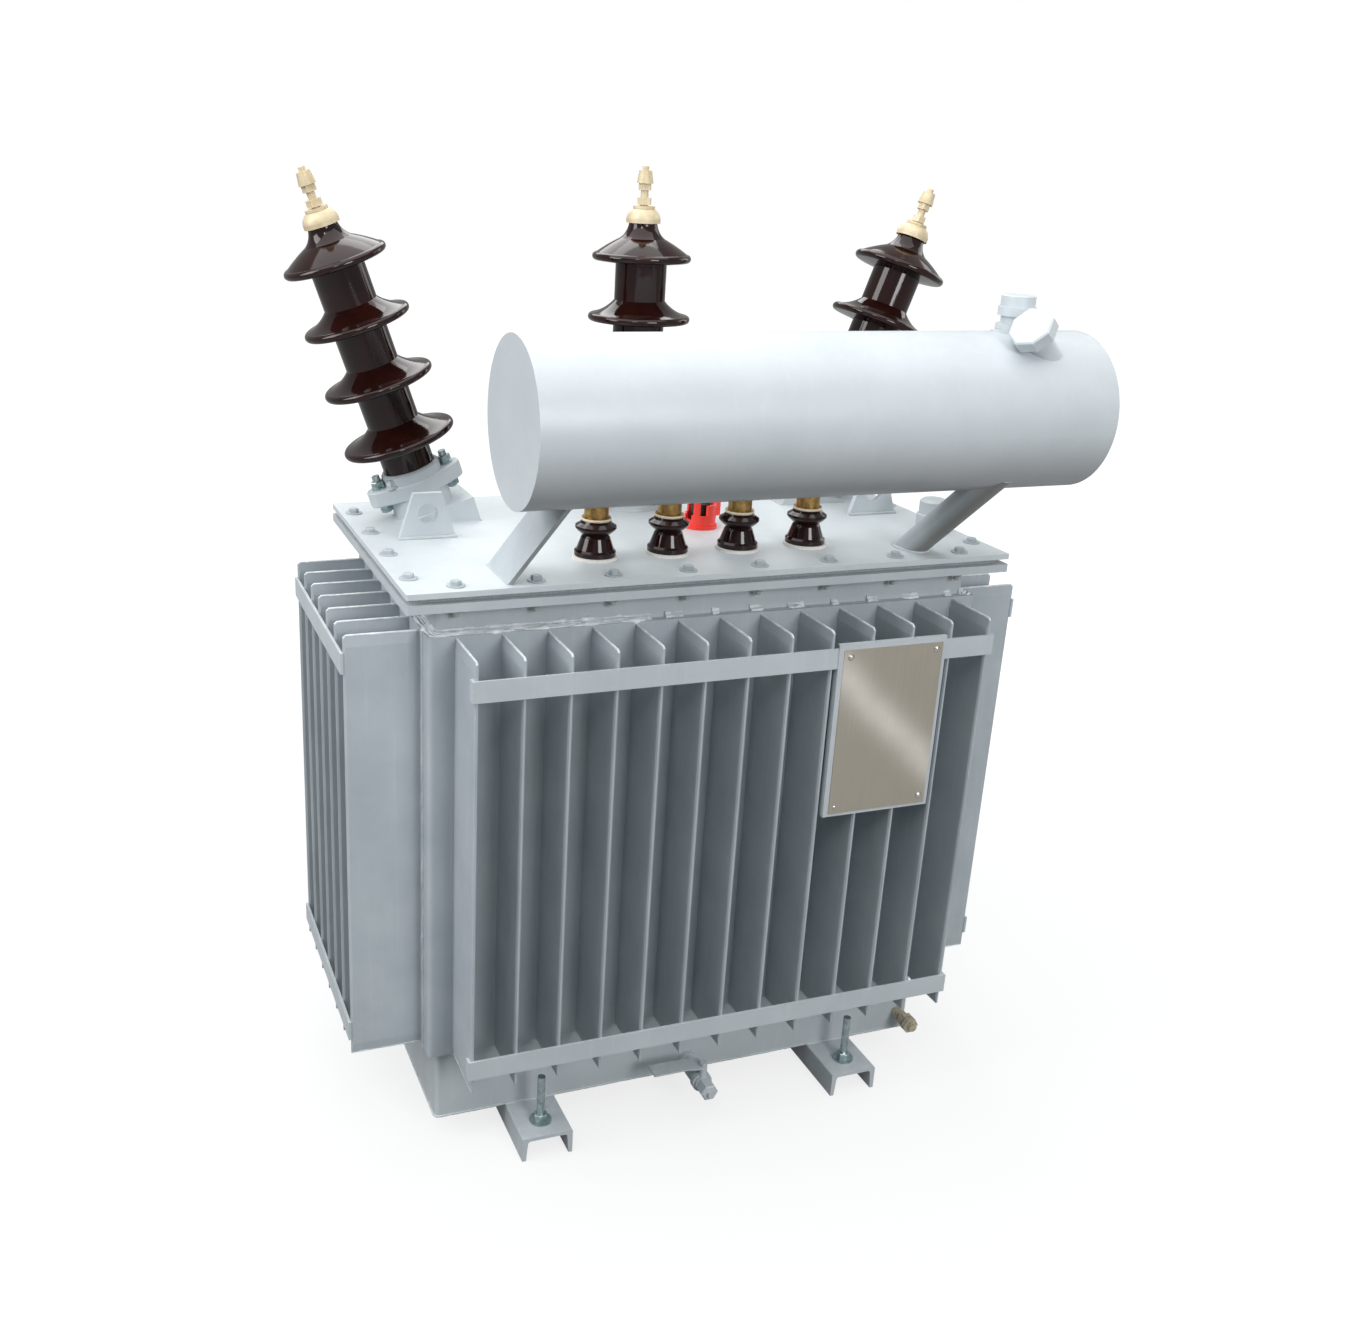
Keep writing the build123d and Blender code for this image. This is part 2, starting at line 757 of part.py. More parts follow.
def lv_terminals():
    """A ring, a round body, a nut and a threaded stem on each bushing."""
    base, body_top = lv_top_height, lv_top_height + lv_ring_height + lv_body_height
    body = turned([
        (0, base - lv_stem_depth), (stem_radius, base - lv_stem_depth), (stem_radius, base),
        (lv_top_radius, base), (lv_top_radius, base + lv_ring_height),
        (lv_body_radius, base + lv_ring_height),
        (lv_body_radius, body_top - 2), (lv_body_radius - 2, body_top), (stem_radius, body_top),
        (stem_radius, body_top + lv_stem_height), (0, body_top + lv_stem_height)])
    body += hexagon(lv_nut_flats, lv_nut_height, body_top)
    return Compound([Pos(x, lv_y, cover_top) * body for x in lv_places()])


# Tap changer: a flanged guard with a step, a post and a locking tab
def guard_sector(angle, half_width, height):
    """A block that reaches out from the guard's axis at an angle, to trim a raised part."""
    block = slab(0, 2 * tap_guard_radius, -half_width, half_width, tap_guard_height - 1, height)
    return Rot(0, 0, angle) * block


def tap_changer_cup():
    inner = tap_guard_radius - tap_guard_wall
    base = Cylinder(tap_radius, tap_base_height, align=low)
    guard = Cylinder(tap_guard_radius, tap_post_height, align=low)
    low_wall = Cylinder(tap_guard_radius, tap_guard_height, align=low)
    cup = base + low_wall
    for angle, half_width, height in ((-128, 5.5, tap_post_height), (-52, 13, tap_step_height),
                                      (20, 6, tap_step_height), (105, 8, tap_post_height)):
        cup += guard & guard_sector(angle, half_width, height)
    tab = slab(inner + 1, tap_tab_reach, -1.5, 1.5, tap_base_height + 8, tap_step_height + 10)
    tab -= Pos(tap_tab_reach - 7, 0, tap_step_height) * Rot(90, 0, 0) * Cylinder(2.5, 10)
    cup += Rot(0, 0, 20) * tab
    cup -= Pos(0, 0, tap_base_height) * Cylinder(inner, tap_post_height, align=low)
    slot = slab(inner - 1, tap_guard_radius + 1, -1.5, 1.5, tap_base_height + 12, tap_step_height - 4)
    notch = slab(inner - 1, tap_guard_radius + 1, -7, 7, tap_guard_height - 8, tap_guard_height + 1)
    cup -= [Rot(0, 0, -40) * slot, Rot(0, 0, -165) * notch]
    return Pos(tap_x, tap_y, cover_top) * cup


def tap_changer_knob():
    """A round knob with a flat key across its top, standing in the guard."""
    knob = upright(tap_knob_radius, tap_knob_height - tap_base_height, 0, 0, tap_base_height)
    knob = chamfer(knob.faces().sort_by(Axis.Z)[-1].edges(), 2)
    half_key = tap_knob_radius - 3
    key = slab(-3, 3, -half_key, half_key, tap_knob_height, tap_knob_height + tap_key_height)
    return Pos(tap_x, tap_y, cover_top) * (knob + Rot(0, 0, 30) * key)


# Lifting lugs, trapezoid plates with a shackle hole
def lifting_lug(side):
    outline = Polyline((-lug_base / 2, 0), (lug_base / 2, 0), (lug_top / 2, lug_height),
                       (-lug_top / 2, lug_height), close=True)
    plate = extrude(Plane.XZ * make_face(outline), lug_thickness / 2, both=True)
    plate -= Pos(0, 0, lug_hole_height) * Rot(90, 0, 0) * Cylinder(lug_hole_radius, 3 * lug_thickness)
    return Pos(lug_centre_x + side * (cover_half_length - lug_inset), lug_y, cover_top) * plate


def thermometer_pocket():
    body = turned([(0, 0), (pocket_radius, 0), (pocket_radius, pocket_lower_height),
                   (pocket_cap_radius, pocket_lower_height + 2), (pocket_cap_radius, pocket_height - 4),
                   (pocket_cap_radius - 5, pocket_height), (0, pocket_height)])
    return Pos(cover_half_length - pocket_inset_x, pocket_inset_y - cover_half_width, cover_top) * body


# Nameplate and the folded bracket that hangs it on the upper bar
def bracket_limits():
    """Left, right, bottom and top of the bracket's face."""
    fin_x = (bracket_first_fin - (long_fin_count - 1) / 2) * long_fin_pitch
    left = fin_x + fin_thickness / 2 + bracket_left_gap
    right = fin_x + bracket_gap_count * long_fin_pitch - fin_thickness / 2 - bracket_right_gap
    top = upper_bar_z + bar_height / 2 + bracket_above_bar
    return left, right, top - bracket_height, top


def nameplate_bracket():
    left, right, bottom, top = bracket_limits()
    back = -(long_fin_tip + bar_thickness)
    front = back - bracket_gauge
    tray = slab(left, right, front, back, bottom, top)
    tray += slab(left, right, front, back + bar_thickness - fit_clearance, top - bracket_gauge, top)
    for a, b in ((left, left + bracket_gauge), (right - bracket_gauge, right)):
        tray += slab(a, b, front, front + bracket_lip, bottom, upper_bar_z - bar_height / 2 - 1)
    return tray


def nameplate():
    left, right, bottom, top = bracket_limits()
    back = -(long_fin_tip + bar_thickness) - bracket_gauge
    return slab(left + plate_margin_left, right - plate_margin_right, back - plate_gauge, back,
                bottom + plate_margin_bottom, top - plate_margin_top)


# Drain valve and earthing stud, low on the front of the skirt
def drain_valve():
    """A boss, a round body with a ring and a hexagon, a stem on top and a bent lever."""
    x, y, z = valve_x, -shell_half_width, tank_bottom + valve_height
    body = forward(valve_boss_radius, valve_boss_length, x, y, z)
    body += forward(valve_body_radius, valve_hex_at + 2, x, y, z)
    body += forward(valve_ring_radius, valve_ring_length, x, y - valve_ring_at, z)
    hexagonal = forward_hexagon(valve_hex_flats, valve_body_end - valve_hex_at, x, y - valve_hex_at, z)
    body += chamfer(hexagonal.faces().sort_by(Axis.Y)[0].edges(), 2)
    body += forward(valve_spout_radius, valve_spout_length + 1, x, y - valve_body_end + 1, z)
    stem_y = y - valve_stem_at
    body += upright(valve_stem_radius, valve_stem_height, x, stem_y, z)
    cap_z = z + valve_stem_height
    body += Pos(x, stem_y, 0) * hexagon(2 * valve_stem_radius, 4, cap_z)
    elbow, tip = x - 2.2 * valve_stem_radius, x - lever_reach
    lever_z = cap_z - lever_drop
    side_view = make_face(Polyline(
        (x, lever_z), (elbow, lever_z), (elbow - 14, lever_z + 3), (tip, lever_z + 3),
        (tip, lever_z + 3 + lever_thickness), (elbow - 14, lever_z + 3 + lever_thickness),
        (elbow, lever_z + lever_thickness), (x, lever_z + lever_thickness), close=True))
    lever = Pos(0, stem_y + lever_depth, 0) * extrude(Plane.XZ * side_view, lever_depth + valve_stem_radius)
    return body + lever


def earth_stud():
    """A bolt with two nuts near its end, on a short welded boss."""
    x, y, z = shell_half_length - earth_inset, -shell_half_width, tank_bottom + earth_height
    body = forward(earth_radius, earth_reach, x, y, z)
    body += forward(earth_boss_radius, earth_boss_length, x, y, z)
    for start in (earth_reach - 7 - earth_nut_height, earth_reach - 9 - 2 * earth_nut_height):
        body += forward_hexagon(earth_nut_flats, earth_nut_height, x, y - start, z)
    return body


# All the pieces by name
nodes = {
    "base_channel_left": base_channel(-1),
    "base_channel_right": base_channel(1),
    "tank_shell": tank_shell(),
    "tank_floor": tank_floor(),
    "rim_flange": rim_flange(),
    "cover_gasket": cover_gasket(),
    "cover_plate": cover_plate(),
    "fin_wall_front": long_wall(0),
    "fin_wall_back": long_wall(180),
    "fin_wall_left": short_wall(0),
    "fin_wall_right": short_wall(180),
    "upper_stiffener_bars": stiffener_bars(upper_bar_z),
    "lower_stiffener_bars": stiffener_bars(lower_bar_z),
    "conservator_shell": conservator_shell(),
    "conservator_end_left": conservator_end(-1),
    "conservator_end_right": conservator_end(1),
    "conservator_leg": conservator_leg(),
    "conservator_pipe": conservator_pipe(),
    "filler_neck": filler_neck(),
    "filler_cap": filler_cap(),
    "vent_plug": vent_plug(),
    "lv_seals": lv_seals(),
    "lv_porcelains": lv_porcelains(),
    "lv_terminals": lv_terminals(),
    "tap_changer_cup": tap_changer_cup(),
    "tap_changer_knob": tap_changer_knob(),
    "lifting_lug_left": lifting_lug(-1),
    "lifting_lug_right": lifting_lug(1),
    "thermometer_pocket": thermometer_pocket(),
    "nameplate_bracket": nameplate_bracket(),
    "nameplate": nameplate(),
    "drain_valve": drain_valve(),
    "earth_stud": earth_stud(),
}
for side, name in ((-1, "left"), (0, "middle"), (1, "right")):
    nodes["hv_turret_" + name] = hv_turret(side)
    nodes["hv_clamp_" + name] = hv_clamp(side)
    nodes["hv_porcelain_" + name] = hv_porcelain(side)
    nodes["hv_terminal_" + name] = hv_terminal(side)

os.makedirs("parts", exist_ok=True)
for name, shape in nodes.items():
    export_step(Pos(0, outline_shift, 0) * shape, "parts/" + name + ".step")
print(len(nodes), "pieces written")
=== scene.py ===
# %% [markdown]
# # An oil-filled power transformer
# The engineering model is finished before this lesson starts: every plate, fin and bushing is
# there at its real size. What it lacks is the look of a real machine: paint, glaze, brass, and the
# many small fasteners and welds that hold it together. We load the model first, because each new
# piece is placed against it.
# %% Load the engineering model
from math import cos, pi, radians, sin, sqrt, tan

import bpy
from mathutils import Matrix, Vector


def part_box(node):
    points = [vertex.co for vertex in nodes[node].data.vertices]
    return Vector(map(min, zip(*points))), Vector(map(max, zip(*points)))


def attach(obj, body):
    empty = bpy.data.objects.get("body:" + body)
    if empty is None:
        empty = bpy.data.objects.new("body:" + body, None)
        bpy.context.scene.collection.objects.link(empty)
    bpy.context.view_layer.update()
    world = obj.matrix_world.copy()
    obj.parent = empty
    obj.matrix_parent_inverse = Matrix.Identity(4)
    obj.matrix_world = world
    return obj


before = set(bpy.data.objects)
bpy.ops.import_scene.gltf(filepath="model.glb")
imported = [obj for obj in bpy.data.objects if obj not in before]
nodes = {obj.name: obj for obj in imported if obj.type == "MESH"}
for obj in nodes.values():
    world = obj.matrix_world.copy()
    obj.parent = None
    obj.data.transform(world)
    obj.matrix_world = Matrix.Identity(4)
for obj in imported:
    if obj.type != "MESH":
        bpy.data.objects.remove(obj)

scene = bpy.context.scene
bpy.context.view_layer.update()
print("pieces in the model:", len(nodes))

# %% [markdown]
# ## Places measured from the model
# Fasteners and welds sit on pieces that are already there. Reading a few corners from those pieces
# keeps everything in step if the model is ever moved, and saves us typing the same number twice.
# All lengths are metres, because that is what the model uses.
# %% Measure the tank, the cover and the drum
MM = 0.001
tank_low, tank_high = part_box("tank_shell")
cover_low, cover_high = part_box("cover_plate")
drum_low, drum_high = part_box("conservator_shell")
middle = (tank_low.y + tank_high.y) / 2
cover_top = cover_high.z
drum_y, drum_z = (drum_low.y + drum_high.y) / 2, (drum_low.z + drum_high.z) / 2
drum_radius = (drum_high.z - drum_low.z) / 2
print("cover top %.3f, drum axis %.3f %.3f, radius %.4f" % (cover_top, drum_y, drum_z, drum_radius))


def on_cover(x, y, rise=0.0):
    """A place on the cover, x and y in millimetres from the middle of the tank."""
    return Vector((x * MM, middle + y * MM, cover_top + rise * MM))


# %% [markdown]
# ## The camera
# The view is that of someone standing a little to the left and looking down at the cover. The
# focal length is given in pixels of a 1365 pixel wide picture, which becomes millimetres on a
# 36 mm sensor. The small roll is the tilt of a hand-held camera.
# %% Set the camera
camera_data = bpy.data.cameras.new("viewpoint")
camera = bpy.data.objects.new("viewpoint", camera_data)
scene.collection.objects.link(camera)
yaw, pitch, roll = radians(21.38), radians(19.86), radians(2.467)
ahead = Vector((sin(yaw) * cos(pitch), cos(yaw) * cos(pitch), -sin(pitch)))
level = Vector((cos(yaw), -sin(yaw), 0.0))
above = level.cross(ahead)
across = cos(roll) * level + sin(roll) * above
upward = cos(roll) * above - sin(roll) * level
turn = Matrix((across, upward, -ahead)).transposed().to_4x4()
eye = (-0.8652, middle - 1.9666, 1.4371)
camera.matrix_world = Matrix.Translation(eye) @ turn
wide, tall = 1365, 1339
focal_pixels, centre_across, centre_down = 1415.5, 598.6, 663.1
camera_data.sensor_width = 36
camera_data.lens = 36 * focal_pixels / wide
camera_data.shift_x = (wide / 2 - centre_across) / wide
camera_data.shift_y = (centre_down - tall / 2) / wide
camera_data.clip_end = 50
scene.camera = camera
print("lens %.2f mm, shift %.4f %.4f" % (camera_data.lens, camera_data.shift_x, camera_data.shift_y))

# %% [markdown]
# ## One helper for every node
# Materials, the world and the geometry trees are all built from nodes. One function adds a node,
# sets its options and joins its inputs, so that a recipe reads like a list. An input given as
# another node's socket becomes a link; anything else becomes the input's value.
# %% A function that adds a node, and one that reads a colour
def add(tree, kind, inputs=None, **settings):
    """Adds a node with its settings, and fills its inputs by name or number."""
    made = tree.nodes.new(kind)
    for key, value in settings.items():
        setattr(made, key, value)
    for key, value in (inputs or {}).items():
        if isinstance(value, bpy.types.NodeSocket):
            tree.links.new(value, made.inputs[key])
        else:
            made.inputs[key].default_value = value
    return made


def linear(hex_colour):
    """An sRGB colour such as "b4b9bf" as the linear numbers that the shader works in."""
    parts = [int(hex_colour[i:i + 2], 16) / 255 for i in (0, 2, 4)]
    parts = [c / 12.92 if c <= 0.04045 else ((c + 0.055) / 1.055) ** 2.4 for c in parts]
    return (*parts, 1.0)


print("mid grey is", [round(c, 3) for c in linear("808080")])

# %% [markdown]
# Four nodes return in nearly every recipe: a sum, a step from one range to another, a mix of two
# colours and a noise. Each gets a short name that hands back the node's result.
# %% Short names for the commonest nodes
def calc(tree, operation, *values):
    """The result of a sum such as ADD or MAXIMUM on one or two values."""
    return add(tree, "ShaderNodeMath", dict(enumerate(values)), operation=operation).outputs[0]


def between(tree, value, low, high, to_low=0.0, to_high=1.0):
    """A value carried from the range low to high into another range, and held inside it."""
    return add(tree, "ShaderNodeMapRange", {"Value": value, "From Min": low, "From Max": high,
                                            "To Min": to_low, "To Max": to_high}).outputs[0]


def blend(tree, part, first, second):
    """The first colour where part is 0 and the second where it is 1; each is hex or a socket."""
    first, second = (linear(c) if isinstance(c, str) else c for c in (first, second))
    return add(tree, "ShaderNodeMix", {"Factor": part, "A": first, "B": second},
               data_type="RGBA").outputs["Result"]


def noise(tree, place, size, detail, roughness=0.5):
    """A noise whose largest lumps have a size, in the units of the place that it reads."""
    return add(tree, "ShaderNodeTexNoise", {"Vector": place, "Scale": 1 / size, "Detail": detail,
                                            "Roughness": roughness}).outputs[0]


print("made: calc, between, blend, noise")

# %% [markdown]
# ## A pale studio
# The object stands on a pale floor under soft light. The lamps are large, so shadows have wide
# edges, as under an overcast sky. Camera rays, reflections and light through glass see a plain
# white surround, while the light that falls on the object from the world is kept lower, so that
# pale paint doesn't clip. The floor itself is only light grey, because a white one would throw so
# much light upwards that the underside of the drum would lose its shade; what the camera sees of
# it is lifted to white, more so further away, and the shadow stays.
# %% World and floor
def white_seen(tree, mirrored):
    """How white a ray sees the studio: wholly from the camera or through glass, less mirrored."""
    ray = add(tree, "ShaderNodeLightPath").outputs
    direct = calc(tree, "MAXIMUM", ray["Is Camera Ray"], ray["Is Transmission Ray"])
    return calc(tree, "MAXIMUM", direct, calc(tree, "MULTIPLY", ray["Is Glossy Ray"], mirrored))


world = bpy.data.worlds.new("white_studio")
scene.world = world
world.use_nodes = True
sky = world.node_tree
sky.nodes.clear()
surround = calc(sky, "MAXIMUM", white_seen(sky, 0.4), 0.34)
glow = add(sky, "ShaderNodeBackground", {"Color": linear("ffffff"), "Strength": surround})
add(sky, "ShaderNodeOutputWorld", {"Surface": glow.outputs[0]})

floor_mesh = bpy.data.meshes.new("studio_floor")
reach = 14.0
floor_mesh.from_pydata([(-reach, -reach, 0), (reach, -reach, 0), (reach, reach, 0), (-reach, reach, 0)],
                       [], [(0, 1, 2, 3)])
studio_floor = bpy.data.objects.new("studio_floor", floor_mesh)
scene.collection.objects.link(studio_floor)
floor_paint = bpy.data.materials.new("white_paper_floor")
floor_paint.use_nodes = True
paper = floor_paint.node_tree
paper.nodes.clear()
matt = add(paper, "ShaderNodeBsdfDiffuse", {"Color": linear("747576")})
on_floor = add(paper, "ShaderNodeTexCoord").outputs["Object"]
away = add(paper, "ShaderNodeVectorMath", {0: on_floor}, operation="LENGTH").outputs["Value"]
near, far, white_near, white_far = 1.0, 3.0, 0.78, 1.0
lift = calc(paper, "MULTIPLY", white_seen(paper, 0.35),
            between(paper, away, near, far, white_near, white_far))
lifted = add(paper, "ShaderNodeEmission", {"Color": linear("ffffff"), "Strength": lift})
both = add(paper, "ShaderNodeAddShader", {0: matt.outputs[0], 1: lifted.outputs[0]})
add(paper, "ShaderNodeOutputMaterial", {"Surface": both.outputs[0]})
floor_mesh.materials.append(floor_paint)
scene.view_settings.view_transform = "Standard"
print("floor is", 2 * reach, "m wide")

# %% [markdown]
# The lamps: one large panel above, one high behind, which reaches the cover under the drum, one at
# the left, one in front and slightly to the right, which leaves the left faces of the fins in
# shade, a weak one at the right, and a small one whose only task is to draw sharp highlights in
# the glaze. Each is an area lamp aimed at the tank with a small function.
# %% Lamps
def panel_lamp(name, place, size, power, aim=(0.0, 0.0, 0.65)):
    """A square soft lamp at a place, turned towards a point on the object."""
    data = bpy.data.lights.new(name, "AREA")
    data.size, data.energy = size, power
    lamp = bpy.data.objects.new(name, data)
    lamp.location = place
    lamp.rotation_euler = (Vector(aim) - Vector(place)).to_track_quat("-Z", "Y").to_euler()
    scene.collection.objects.link(lamp)


panel_lamp("lamp_above", (-0.55, -0.25, 3.9), 5.2, 146)
panel_lamp("lamp_behind", (0.3, 2.3, 3.2), 2.4, 46)
panel_lamp("lamp_left", (-3.2, 0.0, 2.3), 1.7, 60, (0.0, 0.0, 0.8))
panel_lamp("lamp_front", (0.7, -4.2, 2.2), 1.5, 81)
panel_lamp("lamp_right", (3.4, 0.8, 2.0), 2.0, 20)
panel_lamp("lamp_window", (-1.6, -2.4, 3.0), 0.5, 9)
print("lamps:", len(bpy.data.lights))

# %% [markdown]
# ## How every material starts and ends
# All materials start from object coordinates and end in one shader. Between the two stand noises:
# some drive the colour, some the roughness, and some push the surface in and out as a bump. Where
# a grain runs one way, the coordinates are stretched before the noise reads them.
# %% The start and the end of a material
def new_material(name):
    """An empty material, its tree, and the object coordinates that its noises read."""
    made = bpy.data.materials.new(name)
    made.use_nodes = True
    tree = made.node_tree
    tree.nodes.clear()
    return made, tree, add(tree, "ShaderNodeTexCoord").outputs["Object"]


def stretched(tree, place, sizes):
    """Coordinates whose unit is as long as sizes says, in millimetres along X, Y and Z."""
    scale = [1 / (size * MM) for size in sizes]
    return add(tree, "ShaderNodeMapping", {"Vector": place, "Scale": scale}).outputs[0]


def bump(tree, height, strength, depth, **more):
    """A surface that seems pushed out by a height; depth is in metres."""
    return add(tree, "ShaderNodeBump", {"Height": height, "Strength": strength, "Distance": depth,
                                        **more}).outputs[0]


def close_material(tree, inputs):
    """The shader that every material ends in."""
    skin = add(tree, "ShaderNodeBsdfPrincipled", inputs)
    add(tree, "ShaderNodeOutputMaterial", {"Surface": skin.outputs[0]})


print("made: new_material, stretched, bump, close_material")

# %% [markdown]
# ## Grey alkyd enamel
# Nearly everything on the tank is sheet steel under sprayed grey enamel: a satin paint, neither
# mirror-like nor chalky. To the eye that means a soft highlight, a faint orange-peel texture about
# a millimetre across, slow changes of tone where the sheet is a little wavy, and dust that settles
# on what faces up. Rain leaves pale upright streaks on what faces sideways. All of these are
# noises on object coordinates, with scales worked out from their size in millimetres. One thing
# follows the shape instead: a warm, darker film on the undersides, partly grime and partly painted
# shade where less light falls. It is thickest on the pipe and the leg under the drum. The copies of
# the paint are painted light and shade too: the cover and drum copies are lighter, the fin copies
# darker. Over the seams the paint is thick, and its pale tone is partly a painted highlight; on the
# nuts it is worn to a warmer grey.
# %% A recipe for painted steel
def enamel(name, base, shade, dust, rough=0.42, peel=0.16, patch=110, grime_and_shade=0.0, fully=-0.95):
    """Sprayed enamel with dust above, streaks on the sides, and below a darker film of grime and painted
    shade; patch is in mm.

    The film reaches its full part where the normal's Z has sunk to the value of fully."""
    made, tree, place = new_material(name)
    paint = blend(tree, between(tree, noise(tree, place, patch * MM, 5, 0.6), 0.35, 0.68), shade, base)
    upright = stretched(tree, place, (9, 9, 220))
    rain = between(tree, noise(tree, upright, 1.0, 3), 0.56, 0.8, 0.0, 0.28)
    normal = add(tree, "ShaderNodeNewGeometry").outputs["Normal"]
    facing_up = add(tree, "ShaderNodeSeparateXYZ", {0: normal}).outputs["Z"]
    speck = noise(tree, place, 0.016, 6, 0.75)
    settled = calc(tree, "MULTIPLY", between(tree, facing_up, 0.55, 0.98), between(tree, speck, 0.42, 0.72))
    cover = calc(tree, "MAXIMUM", calc(tree, "MULTIPLY", settled, 0.55), rain)
    # A warm, darker film on faces turned down: partly grime, partly painted shade.
    film = between(tree, facing_up, -0.15, fully, 0.0, grime_and_shade)
    colour = blend(tree, film, blend(tree, cover, paint, dust), "6f6c65")
    wavy = bump(tree, noise(tree, place, 0.07, 1), 0.25, 0.0022)
    orange_peel = bump(tree, noise(tree, place, 0.0016, 2), peel, 0.0003, Normal=wavy)
    close_material(tree, {"Base Color": colour, "IOR": 1.5, "Normal": orange_peel,
                          "Roughness": between(tree, speck, 0, 1, rough - 0.08, rough + 0.14)})
    return made


tank_enamel = enamel("grey_alkyd_enamel", "bac2c7", "b0b9be", "cdd0d0")
# The two fin copies are darker than the tank's: painted shade between the fins.
fin_enamel_painted_darker = enamel("grey_enamel_on_fins_painted_darker", "abb4b9", "9fa9af", "c2c6c6", rough=0.44)
end_fin_enamel_painted_darker = enamel("grey_enamel_on_end_fins_painted_darker", "b0b9be", "a3adb3", "c5c9c9", rough=0.44)
# The cover and drum copies are lighter than the tank's: painted light.
cover_enamel_painted_lighter = enamel("enamel_on_cover_painted_lighter", "c8d0d4", "c0c9ce", "d2d5d4", rough=0.42)
drum_enamel_painted_lighter = enamel("enamel_on_drum_painted_lighter", "c4cbd0", "bdc5ca", "cfd2d1", rough=0.34, peel=0.2, grime_and_shade=0.5)
weld_enamel = enamel("grey_enamel_over_weld", "c3cacd", "a9b2b6", "d6d9d9", rough=0.34, peel=0.3)
# Thick paint over the seams, made pale partly as a painted highlight.
thick_enamel_and_painted_highlight = enamel("enamel_thick_over_seams_with_painted_highlight", "e4e9eb", "c0c8cc", "eceeee", 0.32, 0.35, 14)
worn_enamel = enamel("worn_enamel_on_nuts", "b1b2b0", "93938f", "bcbcb9", 0.4, 0.3, 20)
# The leg and the pipe under the drum take the most of that grime and painted shade.
enamel_with_grime_and_shade = enamel("grey_enamel_with_grime_and_painted_shade", "bac2c7", "b0b9be", "cdd0d0", grime_and_shade=0.78, fully=-0.6)
print("enamels made:", sum("enamel" in m.name for m in bpy.data.materials))

# %% [markdown]
# ## Glazed porcelain
# Bushings are fired clay under a brown glass glaze. The body colour is nearly black with a red
# cast under a hard clear layer, so the eye sees a dark form drawn mostly by sharp reflections.
# The glaze is nearly mirror smooth, a thin film of dust varies that a little, and very slow
# ripples keep the reflections alive.
# %% Brown glaze
def glaze(name, deep, warm):
    """A nearly smooth glaze over a body that drifts between two colours."""
    made, tree, place = new_material(name)
    colour = blend(tree, between(tree, noise(tree, place, 0.03, 4), 0.3, 0.75), deep, warm)
    film = noise(tree, place, 0.006, 5)
    close_material(tree, {"Base Color": colour, "IOR": 1.5, "Specular IOR Level": 0.4,
                          "Roughness": between(tree, film, 0, 1, 0.05, 0.14),
                          "Normal": bump(tree, noise(tree, place, 0.018, 1), 0.12, 0.001)})
    return made


brown_glaze = glaze("brown_glazed_porcelain", "190a08", "280f0b")
print("made:", brown_glaze.name)

# %% [markdown]
# ## Bare metals
# Fasteners are zinc plated: a thin bluish grey coat with a cloudy bloom. The bell caps on the high
# bushings are brass under a dull, creamy film of oxide, so they shine only a little. The
# low-voltage terminals are plain turned brass that has gone brown in places, the earth stud's
# brass is weathered, and the nameplate's screws are polished steel. They share one recipe: a metal
# whose colour and roughness drift between two values, with fine scratches.
# %% A recipe for metals
def metal(name, bright, dull, smooth, rough, patch, grain=(0.6, 0.6, 0.6), metallic=1.0, scratched=0.2):
    """A bare metal; grain is how long its scratches are along X, Y and Z, in millimetres."""
    made, tree, place = new_material(name)
    part = between(tree, noise(tree, place, patch * MM, 5, 0.65), 0.35, 0.68)
    scratch = noise(tree, stretched(tree, place, grain), 1.0, 3)
    close_material(tree, {"Base Color": blend(tree, part, bright, dull), "Metallic": metallic,
                          "Roughness": between(tree, part, 0, 1, smooth, rough),
                          "Normal": bump(tree, scratch, scratched, 0.0002)})
    return made


zinc = metal("zinc_plated_steel", "bccacb", "8b9fa1", 0.28, 0.5, 9)
tinned = metal("tinned_brass_caps", "d8caac", "c1b08c", 0.46, 0.62, 18, (3, 3, 3), 0.15, 0.04)
brass = metal("turned_brass", "bb9a62", "86693c", 0.3, 0.5, 8, (4, 4, 0.5))
old_brass = metal("weathered_brass", "cbc2ac", "a29a86", 0.4, 0.6, 6, (2, 2, 2), 0.5, 0.1)
bright_steel = metal("polished_steel_screws", "d8d4cc", "a8a49c", 0.16, 0.3, 5, (2, 2, 2), 1.0, 0.08)
print("made:", [m.name for m in (zinc, tinned, brass, old_brass, bright_steel)])

# %% [markdown]
# ## Rubber, plastic and seals
# The cover gasket is a cork and rubber sheet greyed by paint mist, the low bushings stand on white
# rubber rings, and the tap changer is moulded from red nylon with a black phenolic knob. None of
# them is a metal: they are matt to satin, with a fine grain from the mould or the cut edge.
# %% A recipe for moulded parts
def moulded(name, colour_a, colour_b, rough, grain_mm, depth=0.0002):
    """Rubber or plastic with a grain that shows in its colour, its gloss and its surface."""
    made, tree, place = new_material(name)
    grain = noise(tree, place, grain_mm * MM, 4)
    part = between(tree, grain, 0.3, 0.72)
    close_material(tree, {"Base Color": blend(tree, part, colour_a, colour_b), "IOR": 1.5,
                          "Roughness": between(tree, part, 0, 1, rough - 0.06, rough + 0.08),
                          "Normal": bump(tree, grain, 0.4, depth)})
    return made


cork_rubber = moulded("cork_rubber_gasket", "8f9597", "b1b7b9", 0.8, 2.5)
pale_rubber = moulded("pale_rubber_seal", "eceae6", "dcd9d3", 0.55, 4)
red_nylon = moulded("red_moulded_nylon", "ff4a3c", "fb3c31", 0.4, 3, 0.0001)
black_phenolic = moulded("black_phenolic", "161616", "232221", 0.38, 3, 0.0001)
cream_rubber = moulded("cream_rubber_ring", "eadfc8", "d8cab0", 0.5, 4)
print("made:", [m.name for m in (cork_rubber, pale_rubber, red_nylon, black_phenolic, cream_rubber)])
